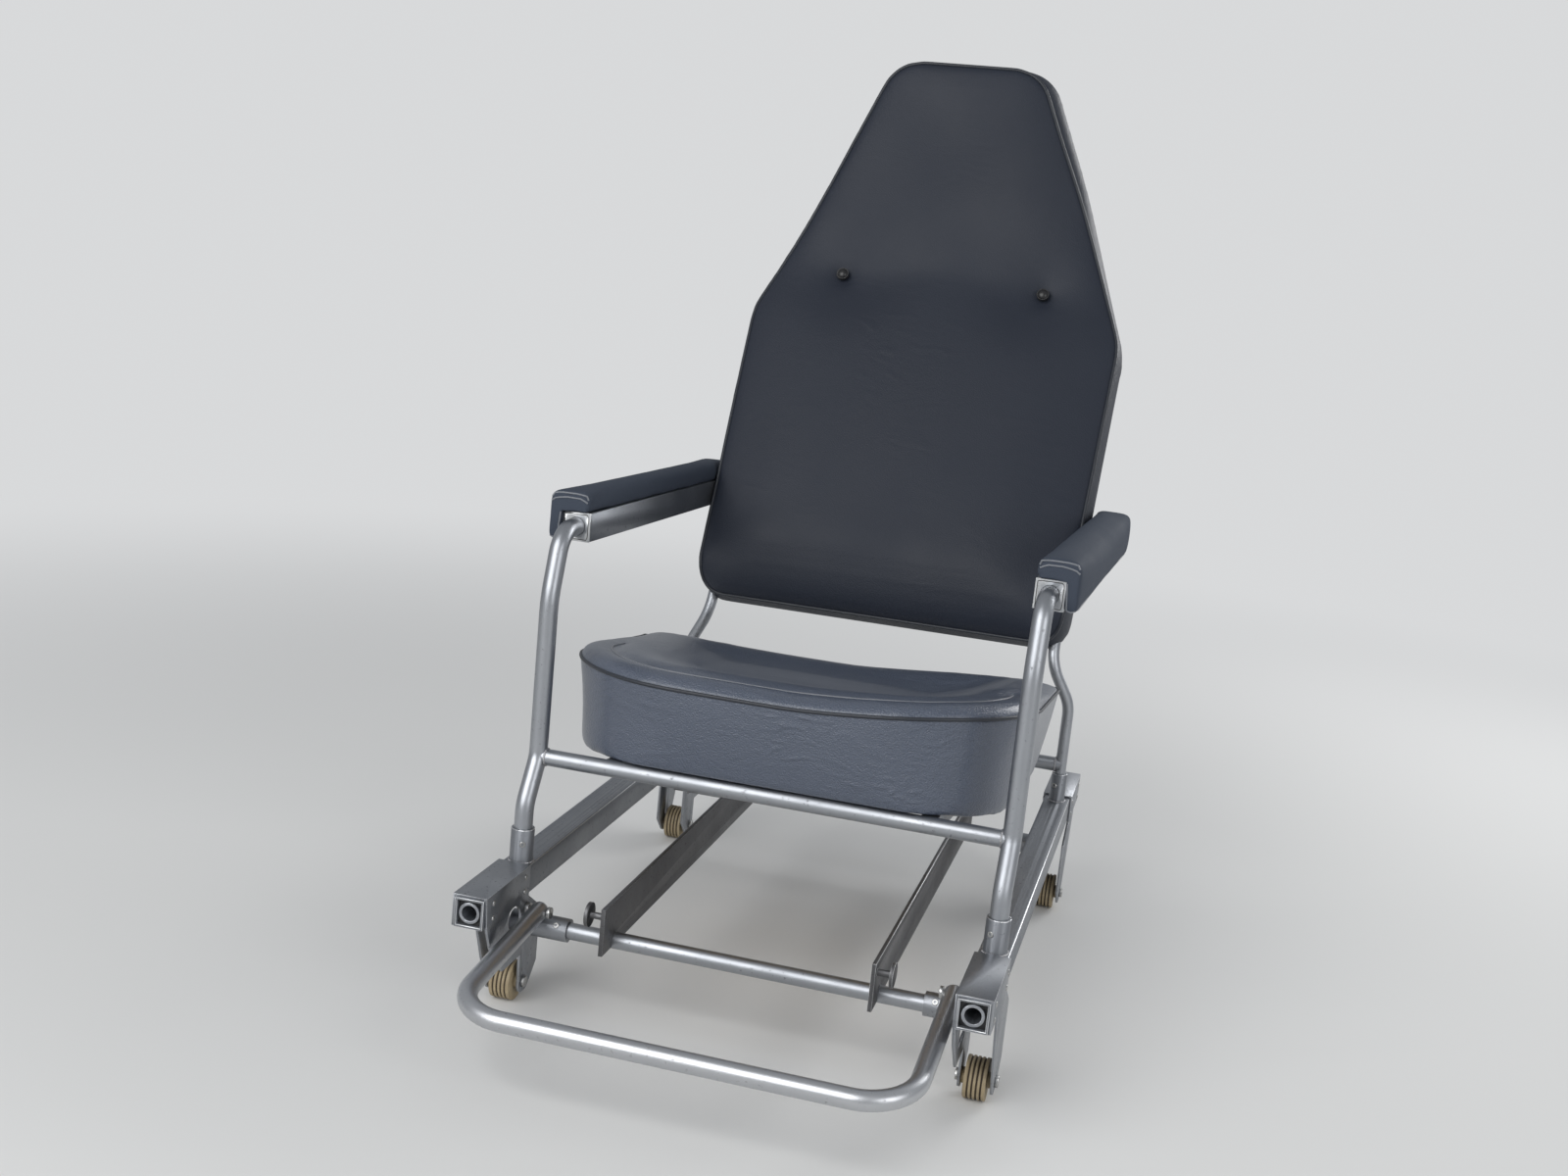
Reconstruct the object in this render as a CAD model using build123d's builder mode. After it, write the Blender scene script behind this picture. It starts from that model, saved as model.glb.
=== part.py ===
"""Ambulance carrying chair: two square runner tubes on four rollers carry a reclined
high-back seat with armrests, a swing-up foot loop and four pull-out carrying handles.

Millimetres. +Z is up from the floor, the chair faces -Y, and left is at -X, as seen from
the front. The origin is on the floor under the middle of the chair.
Lengths along the chair are measured from the front ends of the runners, and heights
from the runners' centre line, so at() and up() turn them into the chair's own frame.
"""
import os
from math import cos, hypot, radians, sin, tan

from build123d import *

# Runners
runner_size = 35.0          # outside of the square tube
runner_wall = 3.0
runner_length = 888.0
half_gauge = 285.0          # middle of the chair to a runner's centre line

# Rollers
roller_r = 24.0
roller_width = 25.0
roller_hub_r = 9.0
roller_axle_r = 4.0
axle_y = 124.0              # runner end to the axle
axle_drop = 126.0           # runner centre line down to the axle
groove_depth = 1.6
groove_width = 2.2
groove_pitch = 5.0
groove_count = 4

# Saddles: folded plates that wrap the runners' ends and reach down to the rollers
saddle_plate = 3.0
saddle_front = 2.0          # runner end to the front edge
saddle_back = 125.0         # runner end to the rear edge on top of the runner
cheek_back = 163.0          # rear edge of the cheeks below the runner
cheek_shelf = 88.0          # runner centre line down to the inner cheek's lower edge
lobe_r = 13.0               # cheek around the axle
nose_top = 5.0              # inner cheek's front edge, behind the saddle's front edge
nose_set = 18.0             # and at its lower end
nose_drop = 28.0            # runner's underside down to that end
fork_top = 22.0             # outer cheek's front edge, in front of the window's middle
fork_set = 10.0             # and at its throat
fork_drop = 36.0            # runner's underside down to the throat
fork_reach = 34.0           # outer cheek's lower corner, in front of the axle
fork_rise = 29.0            # and above it
window_y = 82.0             # arched window in the inner cheek
window_half = 23.0
window_top = 17.5           # runner centre line down to the top of the arch
window_height = 48.0

# Sleeves, and the tubes that stand or lie in them
post_r = 11.0
post_sleeve_r = 14.0
upright_r = 8.0
upright_sleeve_r = 11.0
sleeve_top = 58.0
post_y = 143.0              # runner end to the uprights, front and rear
cross_r = 10.0
cross_sleeve_r = 14.0
cross_sleeve_inner = 215.0  # middle of the chair to the sleeve's ends
cross_sleeve_outer = 287.0
cross_y = 137.0
cross_drop = 57.0

# Front posts
foot_bend = 86.0
knee_y = 174.0
knee_height = 138.0
lean_start = 330.0
lean_y = 198.0
post_bends = (40.0, 40.0, 120.0, 35.0)
post_tip = 12.0             # tube inside the armrest

# Armrests
arm_height = 407.0
arm_y = 242.0
arm_size = 35.0
arm_wall = 2.5
arm_length = 640.0
arm_plate = 4.0
arm_splay = 1.0             # degrees outwards to the back
arm_droop = 2.2             # degrees downwards to the back
arm_pad_top = 26.0
arm_pad_side = 16.0
arm_pad_length = 634.0
arm_pad_overhang = 8.0
arm_pad_round = 9.0

# Seat
seat_slope = 6.8            # degrees down to the back
seat_tube_r = 10.0
seat_thickness = 110.0
seat_half = 286.0
seat_length = 432.0
seat_nose = 24.0            # how far the top edge stands out over the bottom edge
seat_foot_half = 266.0
seat_foot_length = 415.0
front_round = 145.0
rear_round = 62.0
seat_lip = 11.0             # bottom edge in front of the front tube's centre line
seat_board_thickness = 10.0
seat_board_inset = 10.0
bearer_size = 20.0
bearer_u = 190.0

# Backrest: it leans back as far as the neck, and its head part stands nearly upright
back_y = 686.0              # foot of its front face
back_foot = 267.0
neck = 778.0                # where the two slopes of the front face meet
back_top = 1045.0
recline = 29.5              # degrees from upright
head_lean = 2.0
neck_bend = 380.0
back_foot_depth = 78.0
head_depth = 50.0
back_edge = 14.0            # rounded front edge
back_corner = 1.0           # the board's and the rear cover's corners
back_foot_half = 270.0
shoulder_half = 281.0
shoulder = 663.0
crown_half = 112.0
foot_round = 32.0
shoulder_round = 90.0
crown_round = 58.0
back_panel_thickness = 3.0
back_panel_inset = 8.0
button_r = 9.0
button_x = 153.0
button_z = 722.0
button_sink = 4.0
button_height = 5.0

# Back uprights and the bars between them, inside the padding
upright_kink = 160.0
upright_cover = 12.5        # rear face to the tubes' centre lines
upright_x = 254.0
upright_foot = 218.0
upright_shoulder = 645.0
upright_top = 950.0
upright_bend = 60.0
top_bar_height = 920.0

# Foot loop
loop_r = 11.0
loop_half = 248.0
loop_bend = 60.0
loop_length = 240.7         # front bar to pivot
loop_rise = 5.9             # degrees up from the bar to the pivot
pivot_y = 119.0
pivot_drop = 32.0
pivot_r = 4.0
bolt_head_r = 7.0
bolt_head = 4.0
spacer_r = 8.0

# Pull-out handles
handle_r = 12.5
handle_wall = 3.5
handle_length = 398.0
handle_recess = 2.0         # handle's end inside the runner's mouth
collar_length = 30.0
bush_recess = 6.0
bush_length = 40.0

# Catch plates under the seat
catch_x = 160.0
catch_plate = 5.0
catch_front = 95.0
catch_low = 62.0
catch_high = 5.0
catch_pin_y = 106.0
catch_pin_drop = 18.0
catch_head_r = 14.5
catch_head = 4.0
catch_neck_r = 4.0
catch_neck = 16.0

# Clearances
seat_gap = 0.3              # between a soft or curved piece and what carries it
slip = 0.1                  # radial, tube in a fixed sleeve
running = 0.05              # radial, pin in a turning or sliding piece

SIDES = (("left", -1), ("right", 1))

# Worked out from the sizes above
half_runner = runner_size / 2
runner_inside = runner_size - 2 * runner_wall
runner_height = roller_r + axle_drop
cheek_face = half_gauge - half_runner - saddle_plate
saddle_top = half_runner + saddle_plate
upright_y = runner_length - post_y
lean = radians(recline)
head = radians(head_lean)
half_neck = (lean - head) / 2
slope = radians(seat_slope)
splay = radians(arm_splay)
droop = radians(arm_droop)
rise = radians(loop_rise)
bar_y = pivot_y - loop_length * cos(rise)
bar_drop = pivot_drop + loop_length * sin(rise)
neck_y = back_y + (neck - back_foot) * tan(lean)
rear_foot_y = back_y + back_foot_depth * cos(lean)
rear_foot = back_foot - back_foot_depth * sin(lean)
rear_neck_y = neck_y + head_depth / cos(half_neck) * cos(head + half_neck)
rear_neck = neck - head_depth / cos(half_neck) * sin(head + half_neck)
rear_slope = (rear_neck_y - rear_foot_y) / (rear_neck - rear_foot)


def rear_y(height, inward):
    """Place along the chair of a line inside the back, from its distance to the rear face."""
    below = rear_foot_y + (height - rear_foot) * rear_slope - inward * hypot(1, rear_slope)
    above = rear_neck_y + (height - rear_neck) * tan(head) - inward / cos(head)
    return min(below, above)


def bend_height(inward):
    """Height at which such a line turns into the head part."""
    turn = hypot(1, rear_slope) - 1 / cos(head)
    return rear_neck + inward * turn / (rear_slope - tan(head))


back_reach = rear_y(back_top - back_panel_inset, -back_panel_thickness)
middle = (back_reach + bar_y - loop_r) / 2


def at(y):
    """Place along the chair, from a distance behind the runners' front ends."""
    return y - middle


def up(z):
    """Height above the floor, from a height above the runners' centre line."""
    return z + runner_height


def across(y):
    """Upright plane across the chair; a negative extrusion goes to the back."""
    return Plane.XZ.offset(-at(y))


def write(part, name):
    part.label = name
    export_step(part, f"parts/{name}.step")


def bent_tube(points, radii, outer):
    """Round bar along straight runs joined by arcs."""
    with BuildPart() as tube:
        with BuildLine() as path:
            FilletPolyline(*points, radius=radii)
        with BuildSketch(Plane(origin=path.line @ 0, z_dir=path.line % 0)):
            Circle(outer)
        sweep(path=path.wire())
    return tube.part


def cross_bar(y, z, radius, half):
    """Round bar across the chair, centred, at a place in the chair's own frame."""
    with BuildPart() as bar:
        with BuildSketch(Plane.YZ.offset(-half)):
            with Locations((y, z)):
                Circle(radius)
        extrude(amount=2 * half)
    return bar.part


def far_end(part):
    """The same piece at the other end of the runners."""
    return mirror(part, about=across(runner_length / 2))


def other_side(part):
    return mirror(part, about=Plane.YZ)


os.makedirs("parts", exist_ok=True)

# Runners: square tubes with a sleeve welded on top for each upright
for side, s in SIDES:
    with BuildPart() as runner:
        with BuildSketch(across(0)):
            with Locations((s * half_gauge, up(0))):
                Rectangle(runner_size, runner_size)
                Rectangle(runner_inside, runner_inside, mode=Mode.SUBTRACT)
        extrude(amount=-runner_length)
        for y, sleeve_r, tube_r in ((post_y, post_sleeve_r, post_r), (upright_y, upright_sleeve_r, upright_r)):
            with BuildSketch(Plane.XY.offset(up(half_runner))):
                with Locations((s * half_gauge, at(y))):
                    Circle(sleeve_r)
                    Circle(tube_r + slip, mode=Mode.SUBTRACT)
            extrude(amount=sleeve_top - half_runner)
    write(runner.part, f"runner_{side}")

# Saddles: a plate folded over the runner's end. Its inner cheek has an arched window and
# a welded sleeve for the lower cross tube, and both cheeks reach down to the roller
lobe_low = -(axle_drop + lobe_r)
inner_cheek = (
    (saddle_front, saddle_top), (saddle_back, saddle_top), (saddle_back, -half_runner),
    (cheek_back, -cross_drop + cross_sleeve_r), (cheek_back, -axle_drop + lobe_r),
    (axle_y + lobe_r, lobe_low), (axle_y - lobe_r, lobe_low), (axle_y - lobe_r, -cheek_shelf),
    (window_y - window_half, -cheek_shelf), (saddle_front + nose_set, -half_runner - nose_drop),
    (saddle_front + nose_top, -half_runner),
)
outer_cheek = (
    (saddle_front, saddle_top), (saddle_back, saddle_top), (saddle_back, -half_runner),
    (cheek_back, -cross_drop + cross_sleeve_r), (cheek_back, -axle_drop + lobe_r),
    (axle_y + lobe_r, lobe_low), (axle_y - lobe_r, lobe_low), (axle_y - fork_reach, -axle_drop + fork_rise),
    (window_y - fork_set, -half_runner - fork_drop), (window_y - fork_top, -half_runner),
    (saddle_front, -half_runner),
)


def saddle(with_pivot):
    """Front left saddle; only the front ones have a hole for the foot loop's pivot."""
    with BuildPart() as body:
        for x, outline in (
            (-half_gauge + half_runner, inner_cheek),
            (-half_gauge - half_runner - saddle_plate, outer_cheek),
        ):
            with BuildSketch(Plane.YZ.offset(x)) as cheek:
                with BuildLine():
                    Polyline(*[(at(y), up(z)) for y, z in outline], close=True)
                make_face()
                fillet(cheek.vertices().filter_by(lambda v: v.Y < up(lobe_low + 1)), radius=lobe_r - 1)
            extrude(amount=saddle_plate)
        with BuildSketch(across(saddle_front)):
            with Locations((-half_gauge, up(half_runner + saddle_plate / 2))):
                Rectangle(runner_size, saddle_plate)
        extrude(amount=-(saddle_back - saddle_front))
        with BuildSketch(Plane.YZ.offset(-half_gauge + half_runner)):
            with Locations((at(window_y), up(-window_top - window_half))):
                Circle(window_half)
            with Locations((at(window_y), up(-window_top - (window_height + window_half) / 2))):
                Rectangle(2 * window_half, window_height - window_half)
        extrude(amount=saddle_plate, mode=Mode.SUBTRACT)
        with BuildSketch(Plane.YZ.offset(-cross_sleeve_outer)):
            with Locations((at(cross_y), up(-cross_drop))):
                Circle(cross_sleeve_r)
        extrude(amount=cross_sleeve_outer - cross_sleeve_inner)
        with BuildSketch(Plane.YZ.offset(-cross_sleeve_outer)):
            with Locations((at(cross_y), up(-cross_drop))):
                Circle(cross_r + slip)
        extrude(amount=cross_sleeve_outer - cross_sleeve_inner, mode=Mode.SUBTRACT)
        with BuildSketch(Plane.YZ.offset(-half_gauge - half_runner - saddle_plate)):
            with Locations((at(axle_y), up(-axle_drop))):
                Circle(roller_axle_r + slip)
        extrude(amount=runner_size + 2 * saddle_plate, mode=Mode.SUBTRACT)
        if with_pivot:
            with BuildSketch(Plane.YZ.offset(-half_gauge + half_runner)):
                with Locations((at(pivot_y), up(-pivot_drop))):
                    Circle(pivot_r + slip)
            extrude(amount=saddle_plate, mode=Mode.SUBTRACT)
    return body.part


front_saddle = saddle(with_pivot=True)
rear_saddle = far_end(saddle(with_pivot=False))
write(front_saddle, "saddle_front_left")
write(other_side(front_saddle), "saddle_front_right")
write(rear_saddle, "saddle_rear_left")
write(other_side(rear_saddle), "saddle_rear_right")

# Rollers: ribbed tread on a hub that runs between the cheeks
hub_width = runner_size - 2 * seat_gap
with BuildPart() as roller:
    with BuildSketch(Plane.YZ.offset(-half_gauge - hub_width / 2)):
        with Locations((at(axle_y), up(-axle_drop))):
            Circle(roller_hub_r)
    extrude(amount=hub_width)
    with BuildSketch(Plane.YZ.offset(-half_gauge - roller_width / 2)):
        with Locations((at(axle_y), up(-axle_drop))):
            Circle(roller_r)
    extrude(amount=roller_width)
    for groove in range(groove_count):
        x = -half_gauge + (groove - (groove_count - 1) / 2) * groove_pitch - groove_width / 2
        with BuildSketch(Plane.YZ.offset(x)):
            with Locations((at(axle_y), up(-axle_drop))):
                Circle(roller_r)
                Circle(roller_r - groove_depth, mode=Mode.SUBTRACT)
        extrude(amount=groove_width, mode=Mode.SUBTRACT)
    with BuildSketch(Plane.YZ.offset(-half_gauge - hub_width / 2)):
        with Locations((at(axle_y), up(-axle_drop))):
            Circle(roller_axle_r + running)
    extrude(amount=hub_width, mode=Mode.SUBTRACT)
write(roller.part, "roller_front_left")
write(other_side(roller.part), "roller_front_right")
write(far_end(roller.part), "roller_rear_left")
write(other_side(far_end(roller.part)), "roller_rear_right")

# Axle bolts through both cheeks, with a hexagon at each end
axle_span = runner_size + 2 * saddle_plate
with BuildPart() as axle:
    with BuildSketch(Plane.YZ.offset(-half_gauge - axle_span / 2)):
        with Locations((at(axle_y), up(-axle_drop))):
            Circle(roller_axle_r)
    extrude(amount=axle_span)
    for x in (-half_gauge - axle_span / 2 - bolt_head, -half_gauge + axle_span / 2):
        with BuildSketch(Plane.YZ.offset(x)):
            with Locations((at(axle_y), up(-axle_drop))):
                RegularPolygon(radius=bolt_head_r, side_count=6)
        extrude(amount=bolt_head)
with BuildPart() as roller_axles:
    add(axle.part)
    add(other_side(axle.part))
    add(far_end(axle.part))
    add(far_end(other_side(axle.part)))
write(roller_axles.part, "roller_axles")

# Lower cross tubes, socketed in the saddles' sleeves
for end, y in (("front", cross_y), ("rear", runner_length - cross_y)):
    tube_part = cross_bar(at(y), up(-cross_drop), cross_r, cross_sleeve_outer - saddle_plate)
    write(tube_part, f"lower_cross_tube_{end}")

# Front posts: up from the sleeve, back over the knee and over into the armrest
post_route = (
    (post_y, half_runner), (post_y, foot_bend), (knee_y, knee_height), (knee_y, lean_start),
    (lean_y, arm_height), (arm_y + post_tip, arm_height),
)


def post(s, outer):
    points = [(s * half_gauge, at(y), up(z)) for y, z in post_route]
    return bent_tube(points, post_bends, outer)


for side, s in SIDES:
    write(post(s, post_r), f"front_post_{side}")

# Back uprights: from the rear sleeves, inwards in an S-bend, and up inside the padding
taper = (shoulder_half - crown_half) / (back_top - shoulder)


def upright_x_at(height):
    return upright_x - max(0, height - upright_shoulder) * taper


def upright(s, outer):
    points = [
        (s * half_gauge, at(upright_y), up(half_runner)),
        (s * half_gauge, at(upright_y), up(upright_kink)),
    ]
    for height in (upright_foot, upright_shoulder, bend_height(upright_cover), upright_top):
        points.append((s * upright_x_at(height), at(rear_y(height, upright_cover)), up(height)))
    return bent_tube(points, (upright_bend, upright_bend, upright_bend, neck_bend / 2), outer)


for side, s in SIDES:
    write(upright(s, upright_r), f"back_upright_{side}")

# Bars between the uprights: one runs out to the armrests, the other ties the tops
arm_line = arm_height + arm_y * tan(droop)
arm_bar_y = ((rear_foot_y + (arm_line - rear_foot) * rear_slope - upright_cover * hypot(1, rear_slope))
             / (1 + tan(droop) * rear_slope))
arm_bar = (at(arm_bar_y), up(arm_line - arm_bar_y * tan(droop)))
arm_inner = half_gauge + (arm_bar_y - arm_y) * tan(splay) - arm_size / 2 / cos(splay)
top_bar = (at(rear_y(top_bar_height, upright_cover)), up(top_bar_height))
top_bar_half = upright_x_at(top_bar_height)
for name, centre, half in (
    ("back_arm_bar", arm_bar, arm_inner - seat_gap),
    ("back_top_bar", top_bar, top_bar_half),
):
    with BuildPart() as bar:
        add(cross_bar(*centre, upright_r, half))
        for s in (-1, 1):
            add(upright(s, upright_r + slip), mode=Mode.SUBTRACT)
    write(bar.part, name)

# Seat frame: cross tubes coped to the posts and to the back uprights, with two bearers
seat_rear_height = knee_height - (upright_y - knee_y) * tan(slope)
for name, y, z, frame_tube, tube_r in (
    ("seat_front_tube", knee_y, knee_height, post, post_r),
    ("seat_rear_tube", upright_y, seat_rear_height, upright, upright_r),
):
    with BuildPart() as seat_tube:
        add(cross_bar(at(y), up(z), seat_tube_r, half_gauge))
        for s in (-1, 1):
            add(frame_tube(s, tube_r + slip), mode=Mode.SUBTRACT)
    write(seat_tube.part, name)

seat_origin = Vector(0, at(knee_y), up(knee_height))
seat_normal = Vector(0, sin(slope), cos(slope))
seat_back_dir = Vector(0, cos(slope), -sin(slope))
bearer_span = hypot(upright_y - knee_y, knee_height - seat_rear_height)
with BuildPart() as seat_bearers:
    with BuildSketch(Plane(origin=seat_origin, x_dir=(1, 0, 0), z_dir=-seat_back_dir)):
        with Locations((-bearer_u, 0), (bearer_u, 0)):
            Rectangle(bearer_size, bearer_size)
    extrude(amount=-bearer_span)
    for y, z in ((knee_y, knee_height), (upright_y, seat_rear_height)):
        add(cross_bar(at(y), up(z), seat_tube_r + slip, half_gauge), mode=Mode.SUBTRACT)
write(seat_bearers.part, "seat_bearers")

# Seat: a cushion around a plywood board that lies on the seat frame
seat_base = seat_origin + seat_normal * (seat_tube_r + seat_gap) - seat_back_dir * seat_lip
seat_plane = Plane(origin=seat_base, x_dir=(1, 0, 0), z_dir=seat_normal)
foot_shrink = seat_half - seat_foot_half


def cushion_outline(half, front, back, tighten):
    """Cushion seen from above: wide rounds at the front corners, smaller at the back."""
    rounds = [front_round - tighten, rear_round - tighten, rear_round - tighten, front_round - tighten]
    with BuildSketch() as outline:
        with BuildLine():
            FilletPolyline((half, front), (half, back), (-half, back), (-half, front), radius=rounds, close=True)
        make_face()
    return outline.sketch


def board_outline(clearance):
    inset = seat_board_inset - clearance
    return cushion_outline(seat_foot_half - inset, inset, seat_foot_length - inset, foot_shrink + inset)


with BuildPart() as seat_pad:
    with BuildSketch(seat_plane):
        add(cushion_outline(seat_foot_half, 0, seat_foot_length, foot_shrink))
    with BuildSketch(seat_plane.offset(seat_thickness)):
        add(cushion_outline(seat_half, -seat_nose, seat_length, 0))
    loft()
    with BuildSketch(seat_plane):
        add(board_outline(seat_gap))
    extrude(amount=seat_board_thickness + seat_gap, mode=Mode.SUBTRACT)
write(seat_pad.part, "seat_pad")

with BuildPart() as seat_board:
    with BuildSketch(seat_plane):
        add(board_outline(0))
    extrude(amount=seat_board_thickness)
write(seat_board.part, "seat_board")

# Armrests: square tube closed by an end plate that the post enters, under an L-shaped pad
half_arm = arm_size / 2
for side, s in SIDES:
    arm_dir = Vector(s * sin(splay) * cos(droop), cos(splay) * cos(droop), -sin(droop))
    arm_plane = Plane(
        origin=(s * half_gauge, at(arm_y), up(arm_height)),
        x_dir=(cos(splay), -s * sin(splay), 0), z_dir=-arm_dir,
    )
    with BuildPart() as end_plate:
        with BuildSketch(arm_plane):
            Rectangle(arm_size, arm_size)
        extrude(amount=-arm_plate)
        add(post(s, post_r + seat_gap), mode=Mode.SUBTRACT)
    write(end_plate.part, f"arm_end_plate_{side}")
    with BuildPart() as arm:
        with BuildSketch(arm_plane.offset(-arm_plate)):
            Rectangle(arm_size, arm_size)
        extrude(amount=-(arm_length - arm_plate))
        with BuildSketch(arm_plane.offset(-arm_plate)):
            Rectangle(arm_size - 2 * arm_wall, arm_size - 2 * arm_wall)
        extrude(amount=-(arm_length - arm_plate - arm_wall), mode=Mode.SUBTRACT)
    write(arm.part, f"arm_tube_{side}")
    low = half_arm + seat_gap
    pad_outline = (
        (-s * half_arm, low), (s * low, low), (s * low, -half_arm), (s * (low + arm_pad_side), -half_arm),
        (s * (low + arm_pad_side), low + arm_pad_top), (-s * half_arm, low + arm_pad_top),
    )
    with BuildPart() as arm_pad:
        with BuildSketch(arm_plane.offset(arm_pad_overhang)) as section:
            with BuildLine():
                Polyline(*pad_outline, close=True)
            make_face()
            fillet(section.vertices().group_by(Axis.Y)[-1], radius=arm_pad_round)
        extrude(amount=-arm_pad_length)
    write(arm_pad.part, f"arm_pad_{side}")


# Backrest: its side profile drawn across the chair, trimmed to the outline seen from the
# front, with the uprights and bars inside and a panel behind
def back_slab(profile, rounds, inset):
    """Slab with straight sides, sloping shoulders and a narrow crown."""
    low = rear_foot + inset
    with BuildPart() as slab:
        with BuildSketch(Plane.YZ.offset(-shoulder_half)):
            with BuildLine():
                FilletPolyline(*[(at(y), up(z)) for y, z in profile], radius=rounds, close=True)
            make_face()
        extrude(amount=2 * shoulder_half)
        with BuildSketch(across(back_y)):
            with BuildLine():
                FilletPolyline(
                    (back_foot_half - inset, up(low)), (shoulder_half - inset, up(shoulder)),
                    (crown_half - inset, up(back_top - inset)), (inset - crown_half, up(back_top - inset)),
                    (inset - shoulder_half, up(shoulder)), (inset - back_foot_half, up(low)),
                    radius=[foot_round, shoulder_round, crown_round, crown_round, shoulder_round, foot_round],
                    close=True,
                )
            make_face()
        extrude(amount=-(back_reach - back_y), mode=Mode.INTERSECT)
    return slab.part


pad_profile = (
    (back_y, back_foot), (neck_y, neck), (neck_y + (back_top - neck) * tan(head), back_top),
    (rear_y(back_top, 0), back_top), (rear_neck_y, rear_neck), (rear_foot_y, rear_foot),
)
panel_outer = bend_height(-back_panel_thickness)
panel_profile = (
    (rear_y(back_top, 0), back_top), (rear_neck_y, rear_neck), (rear_foot_y, rear_foot),
    (rear_y(rear_foot, -back_panel_thickness), rear_foot),
    (rear_y(panel_outer, -back_panel_thickness), panel_outer),
    (rear_y(back_top, -back_panel_thickness), back_top),
)
rear_bend = neck_bend - head_depth
button_plane = Plane(
    origin=(0, at(back_y + (button_z - back_foot) * tan(lean)), up(button_z)),
    x_dir=(1, 0, 0), z_dir=(0, -cos(lean), sin(lean)),
)

with BuildPart() as back_pad:
    pad_rounds = [back_edge, neck_bend, back_edge, back_corner, rear_bend, back_corner]
    add(back_slab(pad_profile, pad_rounds, 0))
    for s in (-1, 1):
        add(upright(s, upright_r + seat_gap), mode=Mode.SUBTRACT)
    add(cross_bar(*arm_bar, upright_r + seat_gap, 2 * half_gauge), mode=Mode.SUBTRACT)
    add(cross_bar(*top_bar, upright_r + seat_gap, top_bar_half), mode=Mode.SUBTRACT)
    with BuildSketch(button_plane.offset(-button_sink)):
        with Locations((-button_x, 0), (button_x, 0)):
            Circle(button_r + seat_gap)
    extrude(amount=2 * button_sink, mode=Mode.SUBTRACT)
write(back_pad.part, "back_pad")

panel_bend = rear_bend - back_panel_thickness
panel_rounds = [back_corner, rear_bend, back_corner, back_corner, panel_bend, back_corner]
write(back_slab(panel_profile, panel_rounds, back_panel_inset), "back_panel")

with BuildPart() as back_buttons:
    with BuildSketch(button_plane.offset(-button_sink)):
        with Locations((-button_x, 0), (button_x, 0)):
            Circle(button_r)
    extrude(amount=button_height)
write(back_buttons.part, "back_buttons")

# Foot loop: one bent tube with ball ends, turning on bolts through the inner cheeks
ends = [(s * loop_half, at(pivot_y), up(-pivot_drop)) for s in (-1, 1)]
corners = [(s * loop_half, at(bar_y), up(-bar_drop)) for s in (-1, 1)]
with BuildPart() as foot_loop:
    add(bent_tube((ends[0], corners[0], corners[1], ends[1]), (loop_bend, loop_bend), loop_r))
    with Locations(*ends):
        Sphere(loop_r)
    add(cross_bar(at(pivot_y), up(-pivot_drop), pivot_r + running, half_gauge), mode=Mode.SUBTRACT)
write(foot_loop.part, "foot_loop")

# Pivot bolts: head, shank through the loop's end, spacer, cheek and nut
loop_inner = loop_half - loop_r - seat_gap
nut_outer = cheek_face + saddle_plate + bolt_head
pivot_pieces = (
    (loop_inner - bolt_head, loop_inner, bolt_head_r),
    (loop_inner, nut_outer, pivot_r),
    (loop_half + loop_r + seat_gap, cheek_face, spacer_r),
    (cheek_face + saddle_plate, nut_outer, bolt_head_r),
)
with BuildPart() as loop_pivots:
    for s in (-1, 1):
        for inner, outer, radius in pivot_pieces:
            with BuildSketch(Plane.YZ.offset(min(s * inner, s * outer))):
                with Locations((at(pivot_y), up(-pivot_drop))):
                    Circle(radius)
            extrude(amount=outer - inner)
write(loop_pivots.part, "loop_pivots")

# Pull-out handles: tube with a guide collar, sliding in a bush in the runner's mouth
collar_r = runner_inside / 2 - seat_gap
collar_y = handle_recess + handle_length - collar_length
with BuildPart() as handle:
    for y, radius, length in ((handle_recess, handle_r, handle_length), (collar_y, collar_r, collar_length)):
        with BuildSketch(across(y)):
            with Locations((-half_gauge, up(0))):
                Circle(radius)
        extrude(amount=-length)
    with BuildSketch(across(handle_recess)):
        with Locations((-half_gauge, up(0))):
            Circle(handle_r - handle_wall)
    extrude(amount=-handle_length, mode=Mode.SUBTRACT)
write(handle.part, "handle_front_left")
write(other_side(handle.part), "handle_front_right")
write(far_end(handle.part), "handle_rear_left")
write(other_side(far_end(handle.part)), "handle_rear_right")

with BuildPart() as bush:
    with BuildSketch(across(bush_recess)):
        with Locations((-half_gauge, up(0))):
            Rectangle(runner_inside, runner_inside)
            Circle(handle_r + running, mode=Mode.SUBTRACT)
    extrude(amount=-bush_length)
with BuildPart() as handle_bushes:
    add(bush.part)
    add(other_side(bush.part))
    add(far_end(bush.part))
    add(far_end(other_side(bush.part)))
write(handle_bushes.part, "handle_bushes")

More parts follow.
